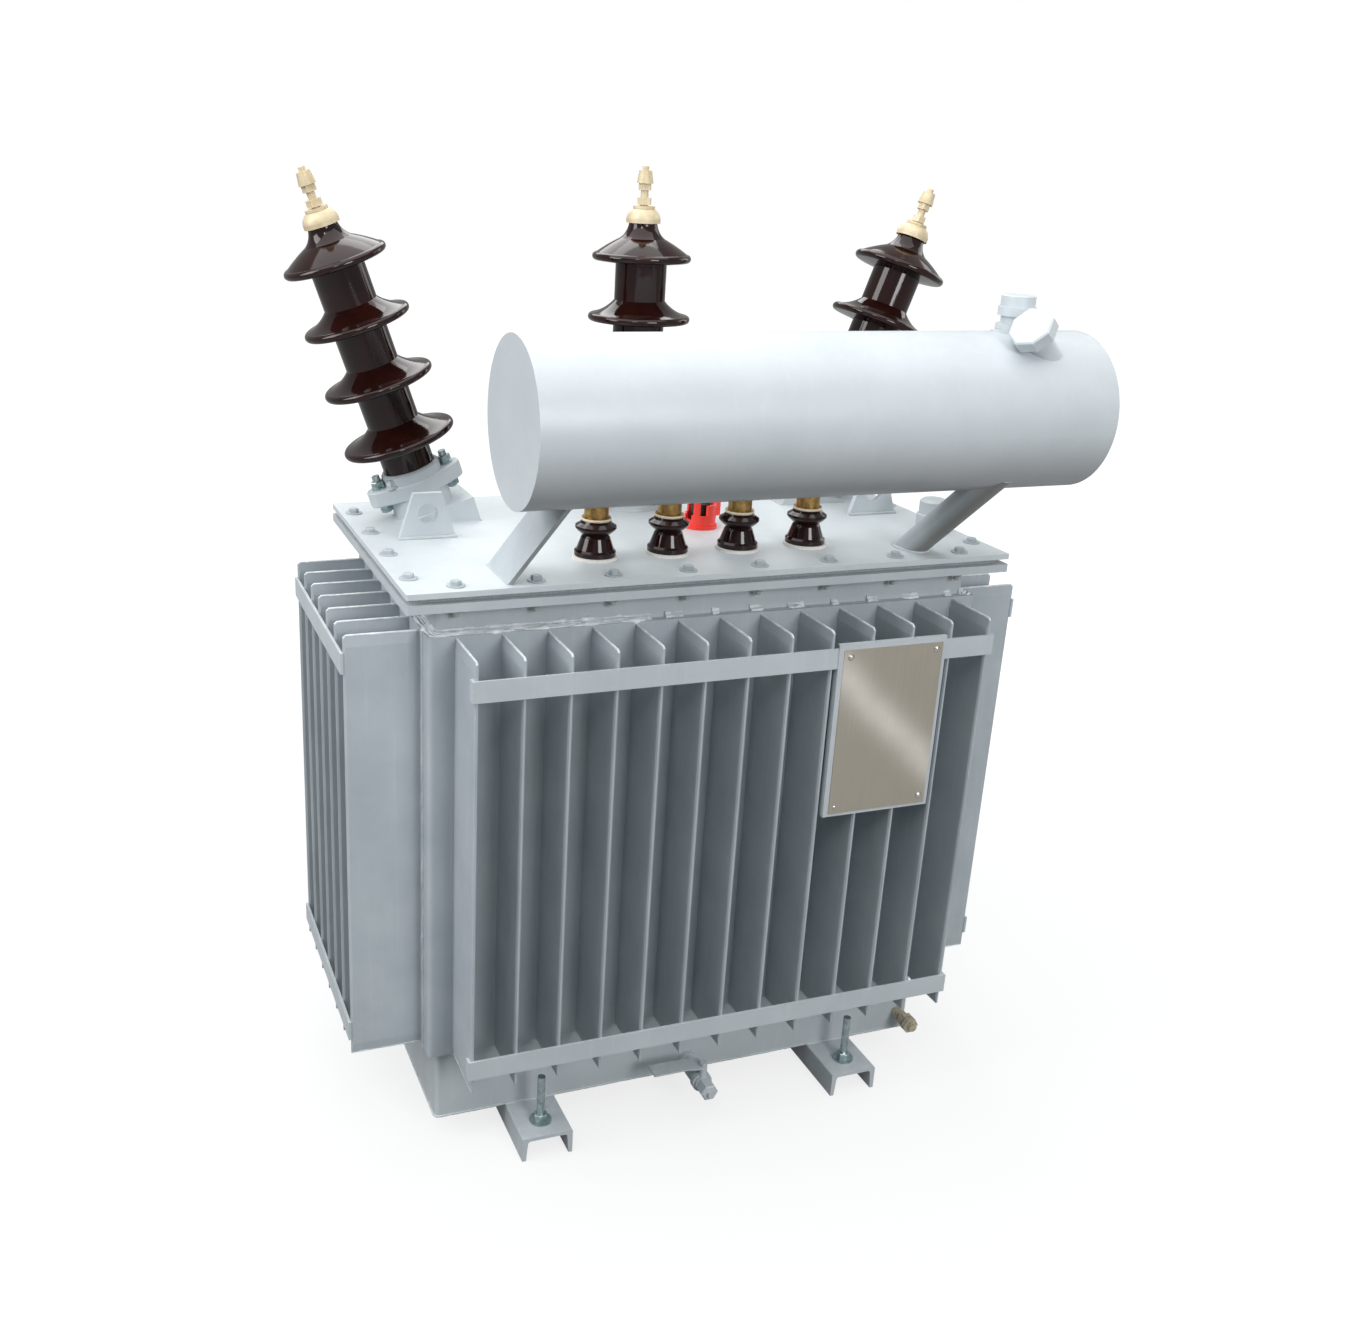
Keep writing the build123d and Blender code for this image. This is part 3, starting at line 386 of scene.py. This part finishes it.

# %% [markdown]
# ## The nameplate's sheet
# The plate is thin stainless sheet with a fine upright brushing, blank on this machine. Thin sheet
# is never quite flat, and one broad diagonal band across it catches more light than the corners do.
# Here that band is a painted sheen in the colour, with a matching bow in height: a slow wave along
# the diagonal, 0.3 m from crest to crest, so that only one fits on the plate, and a power narrows it.
# %% Brushed stainless sheet
def plate_finish_with_painted_sheen():
    """Brushed sheet with one broad band of painted sheen across its middle, over a slight bow."""
    made, tree, place = new_material("brushed_stainless_with_painted_sheen")
    plate_middle, crest_to_crest = Vector((0.2265, 0.0, 0.6755)), 0.3
    centred = add(tree, "ShaderNodeMapping", {"Vector": place, "Location": -plate_middle})
    parts = add(tree, "ShaderNodeSeparateXYZ", {0: centred.outputs[0]}).outputs
    along = calc(tree, "ADD", calc(tree, "MULTIPLY", parts["X"], 0.95), parts["Z"])
    swing = calc(tree, "COSINE", calc(tree, "MULTIPLY", along, 2 * pi / crest_to_crest))
    painted_sheen_and_bow = calc(tree, "POWER", between(tree, swing, -1, 1), 7)
    cloud = noise(tree, place, 0.05, 4)
    hair = noise(tree, stretched(tree, place, (0.9, 1000, 120)), 1.0, 4)
    # The diagonal band lightens the colour from dull to bright steel: a painted sheen.
    veiled_painted_sheen = calc(tree, "MULTIPLY", painted_sheen_and_bow, between(tree, cloud, 0.3, 0.7, 0.8, 1.0))
    colour = add(tree, "ShaderNodeVectorMath", {0: blend(tree, veiled_painted_sheen, "bab3a6", "efe9df"),
                                                "Scale": between(tree, hair, 0.3, 0.7, 0.96, 1.03)},
                 operation="SCALE")
    bow = bump(tree, painted_sheen_and_bow, 0.5, 0.004)
    close_material(tree, {"Base Color": colour.outputs[0], "Metallic": 1.0,
                          "Roughness": between(tree, cloud, 0, 1, 0.3, 0.46),
                          "Normal": bump(tree, hair, 0.12, 0.0002, Normal=bow)})
    return made


stainless_with_painted_sheen = plate_finish_with_painted_sheen()
print("made:", stainless_with_painted_sheen.name)

# %% [markdown]
# ## Dressing the model's own pieces
# A piece whose shape is already right only needs its finish. Everything is grey enamel unless the
# table has the start of its name; where two starts fit, the later one counts. The model gives each
# piece one material slot, and assigning to that slot changes the look and leaves the mesh alone.
# %% Give every piece of the model its finish
# The lighter cover copy on lugs, filler, vent, turrets and clamps is painted light.
finish_by_start = {
    "fin_wall": fin_enamel_painted_darker, "fin_wall_left": end_fin_enamel_painted_darker, "fin_wall_right": end_fin_enamel_painted_darker,
    "conservator": drum_enamel_painted_lighter, "conservator_leg": enamel_with_grime_and_shade, "conservator_pipe": enamel_with_grime_and_shade,
    "cover_plate": cover_enamel_painted_lighter, "lifting_lug": cover_enamel_painted_lighter, "filler": cover_enamel_painted_lighter, "vent": cover_enamel_painted_lighter,
    "hv_turret": cover_enamel_painted_lighter, "hv_clamp": cover_enamel_painted_lighter, "hv_porcelain": brown_glaze, "hv_terminal": tinned,
    "lv_seals": pale_rubber, "lv_porcelains": brown_glaze, "lv_terminals": brass,
    "tap_changer_cup": red_nylon, "tap_changer_knob": black_phenolic,
    "cover_gasket": cork_rubber, "earth_stud": old_brass,
    "nameplate": stainless_with_painted_sheen, "nameplate_bracket": tank_enamel}
finish_of = {name: tank_enamel for name in nodes}
for start, finish in finish_by_start.items():
    finish_of.update((name, finish) for name in nodes if name.startswith(start))
for name, finish in finish_of.items():
    slots = nodes[name].data.materials
    if not slots:
        slots.append(finish)
    for i in range(len(slots)):
        slots[i] = finish
print("dressed:", len(finish_of))

# %% [markdown]
# ## Bolts as a geometry tree
# The cover is held by a row of hexagon bolts with round washers, and the same fastener returns in
# other sizes all over the machine. Geometry Nodes suit this: the base mesh is nothing but points,
# one for each fastener, and the tree puts a washer, a nut with a bevelled top and a bolt end on
# every point. The sizes are named inputs, so one tree serves every thread size. Every tree starts
# with such inputs and ends with real geometry in one finish, so two functions do that.
# %% The start and the end of a tree
def open_tree(name, sizes):
    """A geometry tree with a geometry input, float inputs by name, a whole number and a material."""
    tree = bpy.data.node_groups.new(name, "GeometryNodeTree")
    face = tree.interface
    face.new_socket("Geometry", in_out="INPUT", socket_type="NodeSocketGeometry")
    for label, value in sizes.items():
        face.new_socket(label, in_out="INPUT", socket_type="NodeSocketFloat").default_value = value
    face.new_socket("Seed", in_out="INPUT", socket_type="NodeSocketInt").default_value = 1
    face.new_socket("Finish", in_out="INPUT", socket_type="NodeSocketMaterial")
    face.new_socket("Geometry", in_out="OUTPUT", socket_type="NodeSocketGeometry")
    return tree, tree.nodes.new("NodeGroupInput").outputs


def close_tree(tree, given, geometry):
    """The end of every tree: real geometry with one finish."""
    real = add(tree, "GeometryNodeRealizeInstances", {0: geometry})
    done = add(tree, "GeometryNodeSetMaterial", {"Geometry": real.outputs[0], "Material": given["Finish"]})
    add(tree, "NodeGroupOutput", {0: done.outputs[0]})


print("made: open_tree, close_tree")

# %% [markdown]
# Now the fastener itself. Blender makes a cylinder about its middle, so each part is lifted to the
# height where it belongs: the washer first, the nut on it, the nut's bevel on that, and the bolt
# through all of them. Every fastener is turned by a random angle, because fitters never line the
# flats up.
# %% Build the fastener tree
fastener, given = open_tree("fastener", {
    "Nut Flats": 0.018, "Nut Height": 0.009, "Washer Radius": 0.014, "Washer Height": 0.0025,
    "Bolt Radius": 0.006, "Bolt Rise": 0.006, "Bevel": 0.0012})
washer_height, bevel_height = given["Washer Height"], given["Bevel"]


def cylinder(sides, radius, height):
    """An upright cylinder about the origin."""
    return add(fastener, "GeometryNodeMeshCylinder", {"Vertices": sides, "Radius": radius, "Depth": height})


def lifted_by(shape, height):
    """A shape moved up by a height."""
    rise = add(fastener, "ShaderNodeCombineXYZ", {"Z": height}).outputs[0]
    return add(fastener, "GeometryNodeTransform", {"Geometry": shape.outputs[0], "Translation": rise})


def half(height):
    """Half of a height."""
    return calc(fastener, "MULTIPLY", height, 0.5)


def over_washer(height):
    """A height counted from the top of the washer."""
    return calc(fastener, "ADD", height, washer_height)


corner = calc(fastener, "MULTIPLY", given["Nut Flats"], 1 / sqrt(3))
body_height = calc(fastener, "SUBTRACT", given["Nut Height"], bevel_height)
bolt_length = calc(fastener, "ADD", given["Nut Height"], given["Bolt Rise"])
washer = lifted_by(cylinder(28, given["Washer Radius"], washer_height), half(washer_height))
nut = lifted_by(cylinder(6, corner, body_height), over_washer(half(body_height)))
cone = add(fastener, "GeometryNodeMeshCone", {
    "Vertices": 6, "Radius Top": calc(fastener, "SUBTRACT", corner, bevel_height),
    "Radius Bottom": corner, "Depth": bevel_height})
bevel = lifted_by(cone, over_washer(body_height))
bolt = lifted_by(cylinder(20, given["Bolt Radius"], bolt_length), over_washer(half(bolt_length)))
one = add(fastener, "GeometryNodeJoinGeometry")
for part in (bolt, bevel, nut, washer):
    fastener.links.new(part.outputs[0], one.inputs[0])
spin = add(fastener, "FunctionNodeRandomValue", {"Min": (0, 0, 0), "Max": (0, 0, 2 * pi),
                                                 "Seed": given["Seed"]}, data_type="FLOAT_VECTOR")
placed = add(fastener, "GeometryNodeInstanceOnPoints", {
    "Points": given["Geometry"], "Instance": one.outputs[0], "Rotation": spin.outputs[0]})
close_tree(fastener, given, placed.outputs[0])
print("fastener tree has", len(fastener.nodes), "nodes")

# %% [markdown]
# ## Running a tree
# A tree works on a base mesh through a modifier. Once it has been evaluated, the result is copied
# into a plain mesh and the modifier is taken off again, so that what is left behaves like any
# hand-made piece. It goes with the machine, and a slot of the model says what it is made of.
# %% A function that runs a tree and keeps the result
def base_mesh(points, edges=()):
    """A mesh of points, with edges between them where a tree needs lines."""
    mesh = bpy.data.meshes.new("base")
    mesh.from_pydata([tuple(p) for p in points], list(edges), [])
    return mesh


def grow(name, tree, base, finish, sizes, seed, place=None):
    """Runs a tree on a base mesh. The result is a plain mesh, moved by a matrix if one is given."""
    piece = bpy.data.objects.new(name, base)
    scene.collection.objects.link(piece)
    modifier = piece.modifiers.new("build", "NODES")
    modifier.node_group = tree
    values = {"Seed": seed, "Finish": finish, **sizes}
    for item in tree.interface.items_tree:
        if item.in_out == "INPUT" and item.name in values:
            modifier[item.identifier] = values[item.name]
    bpy.context.view_layer.update()
    solid = piece.evaluated_get(bpy.context.evaluated_depsgraph_get())
    mesh = bpy.data.meshes.new_from_object(solid)
    piece.modifiers.remove(modifier)
    piece.data = mesh
    if place is not None:
        mesh.transform(place)
    mesh.name = name
    if not mesh.materials:
        mesh.materials.append(finish)
    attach(piece, "root")
    print(name, "faces", len(mesh.polygons))


print("made: base_mesh, grow")

# %% [markdown]
# ## The bolts round the cover
# Twenty-four bolts clamp the cover, the gasket and the rim flange: eight along each long side and
# four on each short side. All of them were painted over with the tank. From above you see the head
# on its washer; below the flange hang a nut and the threaded end. Both sides come from the same
# tree, with the lower set turned over half a turn about the X axis. The heads' own bolts are kept
# shorter than the heads, so that none comes out at the top.
# %% Cover bolts, above and below
flange_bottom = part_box("rim_flange")[0].z
half_x, half_y = (cover_high.x - cover_low.x) / 2, (cover_high.y - cover_low.y) / 2
row_x, row_y = half_x - 0.020, half_y - 0.026
last_x, last_y = half_x - 0.073, half_y - 0.072
bolt_places = []
for i in range(8):
    x = (i - 3.5) * 2 * last_x / 7
    bolt_places += [(x, row_y), (x, -row_y)]
for i in range(4):
    y = (i - 1.5) * 2 * last_y / 3
    bolt_places += [(row_x, y), (-row_x, y)]
# The heads take the darker fin copy: painted shade that sets them off from the cover.
grow("cover_bolt_heads", fastener, base_mesh([(x, y, 0) for x, y in bolt_places]), fin_enamel_painted_darker,
     {"Nut Flats": 0.0135, "Nut Height": 0.0062, "Washer Radius": 0.0128, "Washer Height": 0.0018,
      "Bolt Rise": -0.001, "Bevel": 0.0012, "Bolt Radius": 0.004},
     3, Matrix.Translation((0, middle, cover_top)))
grow("cover_bolt_nuts", fastener, base_mesh([(x, -y, 0) for x, y in bolt_places]), worn_enamel,
     {"Nut Flats": 0.0130, "Nut Height": 0.0075, "Washer Radius": 0.0090, "Washer Height": 0.0015,
      "Bolt Radius": 0.0042, "Bolt Rise": 0.0060},
     5, Matrix.Translation((0, middle, flange_bottom)) @ Matrix.Rotation(pi, 4, "X"))
print("cover bolts:", len(bolt_places))

# %% [markdown]
# ## Foot studs
# The transformer is bolted to its plinth by four long studs that come up through the channel
# webs. Each has a wide washer and a nut, and stands well above it.
# %% Foot studs
foot_low, foot_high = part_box("base_channel_left")
foot_x = abs(foot_low.x + foot_high.x) / 2
stud_inset = 0.037
foot_y = (foot_high.y - foot_low.y) / 2 - stud_inset
stud_places = [(sx * foot_x, sy * foot_y, 0) for sx in (-1, 1) for sy in (-1, 1)]
grow("foot_studs", fastener, base_mesh(stud_places), zinc,
     {"Washer Radius": 0.017, "Washer Height": 0.003, "Nut Flats": 0.019, "Nut Height": 0.010,
      "Bolt Rise": 0.066}, 7, Matrix.Translation((0, middle, foot_high.z)))

# %% [markdown]
# ## Studs on the high bushings
# An oval clamp presses each porcelain body on its turret, with a plated stud at either end of the
# oval. Two low screws that were painted over hold the clamp's halves together.
# We set the fasteners in the bushing's own upright frame and then tip the finished mesh by the
# bushing's lean, which is easier than tipping every stud by itself.
# %% Bushing studs
lean = radians(19.5)
bushing_y = 150
middle_x, middle_rise, outer_x, outer_rise = 6, 47, 356, 56
bushing_frames = {"middle": Matrix.Translation(on_cover(middle_x, bushing_y, middle_rise))}
for side, name in ((-1, "left"), (1, "right")):
    seat = Matrix.Translation(on_cover(side * outer_x, bushing_y, outer_rise))
    bushing_frames[name] = seat @ Matrix.Rotation(side * lean, 4, "Y")
oval_ends = [(-0.055, 0, 0), (0.055, 0, 0)]
screw_corners = [(-0.040, -0.025, 0), (0.040, 0.025, 0)]
stud = {"Washer Radius": 0.012, "Nut Flats": 0.019, "Nut Height": 0.010}
painted_screw = {"Washer Radius": 0.0095, "Washer Height": 0.003, "Nut Flats": 0.013, "Nut Height": 0.008,
                 "Bolt Radius": 0.005, "Bolt Rise": 0.002, "Bevel": 0.0025}
for name, place in bushing_frames.items():
    on_clamp = place @ Matrix.Translation((0, 0, 0.009))
    under_turret = place @ Matrix.Translation((0, 0, -0.016)) @ Matrix.Rotation(pi, 4, "X")
    grow("clamp_nuts_" + name, fastener, base_mesh(oval_ends), zinc,
         {**stud, "Bolt Rise": 0.008}, 11, on_clamp)
    grow("turret_nuts_" + name, fastener, base_mesh(oval_ends), zinc,
         {**stud, "Bolt Rise": 0.002}, 12, under_turret)
    # The painted screws take the lighter cover copy: painted light.
    grow("clamp_screws_" + name, fastener, base_mesh(screw_corners), cover_enamel_painted_lighter,
         painted_screw, 13, on_clamp)

# %% [markdown]
# ## Weld beads as a geometry tree
# Sheet-metal work is recognised by its welds. A bead is a half-buried rope of metal with small
# ripples across it. The base mesh holds only the lines where plates meet. The tree turns those
# lines into curves, gives them a round section and pushes the surface in and out with a noise a
# few millimetres long, which the eye reads as ripples. A second, slower noise, called drift, makes
# a hand-laid bead swell and fade. The push inwards ends at 0.7 of the radius, so that no bead
# turns inside out.
# %% Build the weld tree
weld, given = open_tree("weld_bead", {
    "Radius": 0.0026, "Step": 0.003, "Ripple": 0.0012, "Ripple Length": 0.0035, "Drift": 0.0})
line = add(weld, "GeometryNodeMeshToCurve", {"Mesh": given["Geometry"]})
even = add(weld, "GeometryNodeResampleCurve", {"Curve": line.outputs[0], "Length": given["Step"]},
           mode="LENGTH")
ring = add(weld, "GeometryNodeCurvePrimitiveCircle", {"Resolution": 8, "Radius": given["Radius"]})
rope = add(weld, "GeometryNodeCurveToMesh", {"Curve": even.outputs[0], "Profile Curve": ring.outputs[0],
                                             "Fill Caps": True})
per_length = calc(weld, "DIVIDE", 1.0, given["Ripple Length"])
lumps = add(weld, "ShaderNodeTexNoise", {"Scale": per_length, "Detail": 1.0, "W": given["Seed"]},
            noise_dimensions="4D")
passes = add(weld, "ShaderNodeTexNoise", {"Scale": 1 / 0.022, "Detail": 2.0, "W": given["Seed"]},
             noise_dimensions="4D")
push = calc(weld, "MULTIPLY", calc(weld, "SUBTRACT", lumps.outputs[0], 0.5), given["Ripple"])
swell = calc(weld, "MULTIPLY", calc(weld, "SUBTRACT", passes.outputs[0], 0.48), given["Drift"])
double = calc(weld, "MULTIPLY", calc(weld, "ADD", push, swell), 2.0)
held = calc(weld, "MAXIMUM", double, calc(weld, "MULTIPLY", given["Radius"], -0.7))
outward = add(weld, "GeometryNodeInputNormal").outputs[0]
offset = add(weld, "ShaderNodeVectorMath", {0: outward, "Scale": held}, operation="SCALE")
rippled = add(weld, "GeometryNodeSetPosition", {"Geometry": rope.outputs[0], "Offset": offset.outputs[0]})
smooth = add(weld, "GeometryNodeSetShadeSmooth", {"Geometry": rippled.outputs[0]})
close_tree(weld, given, smooth.outputs[0])
print("weld tree has", len(weld.nodes), "nodes")

# %% [markdown]
# ## Where the welds run
# Most seams are straight lines or rounded rectangles. Where a round pipe meets the drum or the
# cover, the seam is the curve in which two surfaces cross: we walk along the pipe from each point
# of its circle until the other surface is reached.
# %% Lines for the welds
class Lines:
    """Collects open and closed runs of points as one mesh of edges."""

    def __init__(self):
        self.points, self.edges = [], []

    def run(self, points, closed=False):
        first = len(self.points)
        self.points += [tuple(p) for p in points]
        last = len(self.points) - 1
        self.edges += [(i, i + 1) for i in range(first, last)]
        if closed:
            self.edges.append((last, first))

    def mesh(self):
        return base_mesh(self.points, self.edges)


def rounded(half_x, half_y, z, radius=0.008):
    """A level rounded rectangle about the middle of the tank."""
    points = []
    for k, (sx, sy) in enumerate(((1, 1), (-1, 1), (-1, -1), (1, -1))):
        for i in range(7):
            a = (k + i / 6) * pi / 2
            points.append((sx * (half_x - radius) + radius * cos(a),
                           middle + sy * (half_y - radius) + radius * sin(a), z))
    return points


def circle(centre, radius, count, side=Vector((1, 0, 0)), other=Vector((0, 1, 0))):
    """Points on a circle, which is level unless two other directions are given."""
    turns = [2 * pi * i / count for i in range(count)]
    return [centre + radius * (cos(a) * side + sin(a) * other) for a in turns]


def ring_where(centre, axis, radius, reaches):
    """The circle of a pipe carried along its axis until it reaches another surface."""
    axis = axis.normalized()
    side = axis.orthogonal().normalized()
    starts = circle(centre, radius, 48, side, axis.cross(side))
    return [start + reaches(start, axis) * axis for start in starts]


def to_cover(start, axis):
    """How far along the axis the cover's surface is met."""
    return (cover_top - start.z) / axis.z


def to_drum(start, axis):
    """How far along the axis the drum's surface is met first, or passed closest."""
    py, pz = start.y - drum_y, start.z - drum_z
    a = axis.y ** 2 + axis.z ** 2
    b = 2 * (py * axis.y + pz * axis.z)
    c = py ** 2 + pz ** 2 - drum_radius ** 2
    return (-b - sqrt(max(0.0, b * b - 4 * a * c))) / (2 * a)


print("made: Lines, rounded, circle, ring_where, to_cover, to_drum")

# %% [markdown]
# The heavy beads run round the tank under its fins, across the feet, round the oil pipe and the
# turrets where they meet the cover, and along the feet of the lifting lugs.
# %% Heavy welds
heavy = Lines()
shell_x, shell_y = tank_high.x, (tank_high.y - tank_low.y) / 2
fins_low, fins_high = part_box("fin_wall_front")
heavy.run(rounded(shell_x, shell_y, fins_low.z), True)
half_foot = 0.040
for side in (-1, 1):
    for end in (-1, 1):
        y = middle + end * shell_y
        heavy.run([(side * foot_x - half_foot, y, foot_high.z), (side * foot_x + half_foot, y, foot_high.z)])
pipe_foot = on_cover(331, -188)
pipe_head = Vector((0.352, middle - 0.312, drum_z - drum_radius))
pipe_radius, turret_radius = 0.021, 0.047
heavy.run(ring_where(pipe_foot, pipe_head - pipe_foot, pipe_radius, to_cover), True)
for place in bushing_frames.values():
    up = place.to_3x3() @ Vector((0, 0, 1))
    heavy.run(ring_where(place.translation, up, turret_radius, to_cover), True)
lugs_middle, lug_reach = 8, 377
for side in (-1, 1):
    lug_x = lugs_middle + side * lug_reach
    for y, half_length in ((12, 44), (24, 42)):
        heavy.run([on_cover(lug_x - half_length, y, 1), on_cover(lug_x + half_length, y, 1)])
grow("weld_beads_heavy", weld, heavy.mesh(), weld_enamel,
     {"Radius": 0.0032, "Ripple": 0.0016}, 21)

# %% [markdown]
# The lighter beads run round the drum's ends, under the rim flange, round the tank's foot and along
# the wedges, the leg, the thermometer pocket and the filler.
# %% Light welds
light = Lines()
end_left, end_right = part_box("conservator_end_left"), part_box("conservator_end_right")
end_bead_radius = drum_radius - 0.0025
for x in (end_left[1].x, end_right[0].x):
    light.run(circle(Vector((x, drum_y, drum_z)), end_bead_radius, 96,
                     Vector((0, 1, 0)), Vector((0, 0, 1))), True)
for z in (flange_bottom, tank_low.z + 0.001):
    light.run(rounded(shell_x, shell_y, z), True)
pocket_foot, pocket_radius = on_cover(425, -100), 0.025
light.run(circle(pocket_foot, pocket_radius, 40), True)
wedge_start, wedge_top, wedge_rise, half_wedge = 262.5, 275, 38, 50
wedge_end = wedge_top + wedge_rise / tan(lean)
for side in (-1, 1):
    for y in (bushing_y - half_wedge, bushing_y + half_wedge):
        light.run([on_cover(side * wedge_start, y), on_cover(side * wedge_end, y)])
    light.run([on_cover(side * wedge_start, bushing_y - half_wedge),
               on_cover(side * wedge_start, bushing_y + half_wedge)])
leg_x, half_leg, leg_back, leg_width = -320, 3.3, -142, 98
leg_head = Vector((end_left[0].x + 0.122, drum_y - 0.034, drum_z))
leg_lean = (leg_head - on_cover(leg_x, leg_back - leg_width / 2)).normalized()
for x in (leg_x - half_leg, leg_x + half_leg):
    light.run([on_cover(x, leg_back), on_cover(x, leg_back - leg_width)])
    starts = [on_cover(x, leg_back - leg_width * i / 12) for i in range(13)]
    light.run([start + to_drum(start, leg_lean) * leg_lean for start in starts])
filler_low, filler_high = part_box("filler_neck")
over_filler = Vector(((filler_low.x + filler_high.x) / 2, drum_y, drum_z + 0.3))
filler_radius = 0.031
light.run(ring_where(over_filler, Vector((0, 0, -1)), filler_radius, to_drum), True)
grow("weld_beads_light", weld, light.mesh(), weld_enamel,
     {"Radius": 0.0019, "Ripple": 0.0009, "Ripple Length": 0.0028}, 22)

# %% [markdown]
# ## Seams laid by hand
# The pans of the corrugated walls are folded in to the shell, and that fold was closed by hand: a
# broad, uneven bead, swollen here and starved there, with paint lying thick over it. Its pale
# patches are partly that thick paint and partly a painted highlight where the bead catches light
# from above. Four lines side by side make up its width. They run from the right front corner round
# the right side, the back and the left side, and end a little left of the front's middle. From there
# on only short spots at the roots of the fins were laid. The pans' upright seams were welded in the
# same way.
# %% Uneven seams
hand = Lines()
pan_x, pan_y = fins_high.x, shell_y + 0.014
fin_step, seam_end = 0.065, -0.105
front_right = 21  # the number of the rounded rectangle's first point at that corner
for inset, rise in ((0.0045, 0.0000), (0.0095, 0.0002), (0.0135, 0.0005), (0.0140, 0.0048)):
    corners = rounded(pan_x - inset, pan_y - inset, fins_high.z + rise)
    front_y, seam_z = corners[front_right][1:]
    hand.run(corners[front_right:] + corners[:front_right] + [(seam_end, front_y, seam_z)])
    if inset > 0.009:  # the outermost line leaves the spots to the others
        for k in range(-1, 7):
            x, spot = k * fin_step - 0.004, 0.005 + 0.004 * (k % 3)
            hand.run([(x - spot, front_y, seam_z), (x + spot, front_y, seam_z)])
grow("weld_seams_by_hand", weld, hand.mesh(), thick_enamel_and_painted_highlight,
     {"Radius": 0.0020, "Ripple": 0.0014, "Ripple Length": 0.006, "Drift": 0.0095}, 23)
upright_seams, upright_y = Lines(), 0.200
for sx in (-1, 1):
    for sy in (-1, 1):
        x, y = sx * pan_x, middle + sy * upright_y
        upright_seams.run([(x, y, fins_low.z), (x, y, fins_high.z)])
grow("weld_seams_upright", weld, upright_seams.mesh(), weld_enamel,
     {"Radius": 0.0022, "Ripple": 0.0014, "Ripple Length": 0.004, "Drift": 0.003}, 24)

# %% [markdown]
# ## Fin ends
# Each fin is a folded sheet, open at its top and bottom until a thin bead closes it. Those beads
# catch the light from above, and their pale finish adds a painted highlight to that, so a pale line
# runs along every fin. The rows repeat at even steps, so two short loops lay the lines, and the
# weld tree does the rest.
# %% Beads along the fin ends
fin_lines = Lines()
fin_top, fin_foot = fins_high.z - 0.004, fins_low.z + 0.0008
fin_depth, end_fin_depth, last_end_fin = 0.099, 0.105, pan_y - 0.048


def close_fin(x, y, out_x, out_y, depth):
    """Lines along the top of the fin whose root is at x, y, bent down at its tip, and along its foot."""
    def at(along, z):
        return (x + out_x * along, y + out_y * along, z)

    fin_lines.run([at(0, fin_top), at(depth - 0.004, fin_top), at(depth - 0.0012, fin_top - 0.0035)])
    fin_lines.run([at(0, fin_foot), at(depth - 0.001, fin_foot)])


for k in range(-6, 7):
    for side in (-1, 1):
        close_fin(k * fin_step, middle + side * pan_y, 0, side, fin_depth)
for k in range(-3, 4):
    for side in (-1, 1):
        close_fin(side * pan_x, middle + k * last_end_fin / 3, side, 0, end_fin_depth)
grow("fin_end_beads", weld, fin_lines.mesh(), thick_enamel_and_painted_highlight,
     {"Radius": 0.0018, "Step": 0.005, "Ripple": 0.0006, "Ripple Length": 0.006}, 25)

# %% [markdown]
# ## Seal rings under the low-voltage terminals
# Between each low-voltage porcelain and its brass terminal sits a cream rubber ring, squeezed out
# a little all round. A bead without ripples has just that shape, so the weld tree makes it too.
# %% Cream rings
ring_y, ring_z = middle - 0.137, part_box("lv_porcelains")[1].z + 0.0012
first_x, ring_step, ring_radius = -0.162, 0.113, 0.0195
cream = Lines()
for i in range(4):
    cream.run(circle(Vector((first_x + ring_step * i, ring_y, ring_z)), ring_radius, 40), True)
grow("lv_top_seals", weld, cream.mesh(), cream_rubber, {"Radius": 0.0026, "Ripple": 0.0}, 26)

# %% [markdown]
# ## Nameplate screws
# The stainless plate is held by three domed screws and, at its lower left, a smaller rivet. Here
# the tree makes a dome from a flattened sphere, because at this size only the round highlight
# shows.
# %% Domed screws on the nameplate
dome, given = open_tree("domed_screw", {"Radius": 0.004, "Rise": 0.0022})
ball = add(dome, "GeometryNodeMeshUVSphere", {"Segments": 20, "Rings": 12, "Radius": given["Radius"]})
flatten = calc(dome, "DIVIDE", given["Rise"], given["Radius"])
squash = add(dome, "ShaderNodeCombineXYZ", {"X": 1.0, "Y": flatten, "Z": 1.0})
low_dome = add(dome, "GeometryNodeTransform", {"Geometry": ball.outputs[0], "Scale": squash.outputs[0]})
round_off = add(dome, "GeometryNodeSetShadeSmooth", {"Geometry": low_dome.outputs[0]})
spread = add(dome, "GeometryNodeInstanceOnPoints", {
    "Points": given["Geometry"], "Instance": round_off.outputs[0]})
close_tree(dome, given, spread.outputs[0])
plate_low, plate_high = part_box("nameplate")
left, right, front = plate_low.x, plate_high.x, plate_low.y
screw_places = [(left + 0.011, front, plate_high.z - 0.011), (right - 0.010, front, plate_high.z - 0.010),
                (right - 0.010, front, plate_low.z + 0.012)]
rivet_places = [(left + 0.009, front, plate_low.z + 0.010)]
grow("nameplate_screws", dome, base_mesh(screw_places), bright_steel,
     {"Radius": 0.0052, "Rise": 0.003}, 31)
grow("nameplate_rivet", dome, base_mesh(rivet_places), bright_steel,
     {"Radius": 0.0034, "Rise": 0.002}, 32)
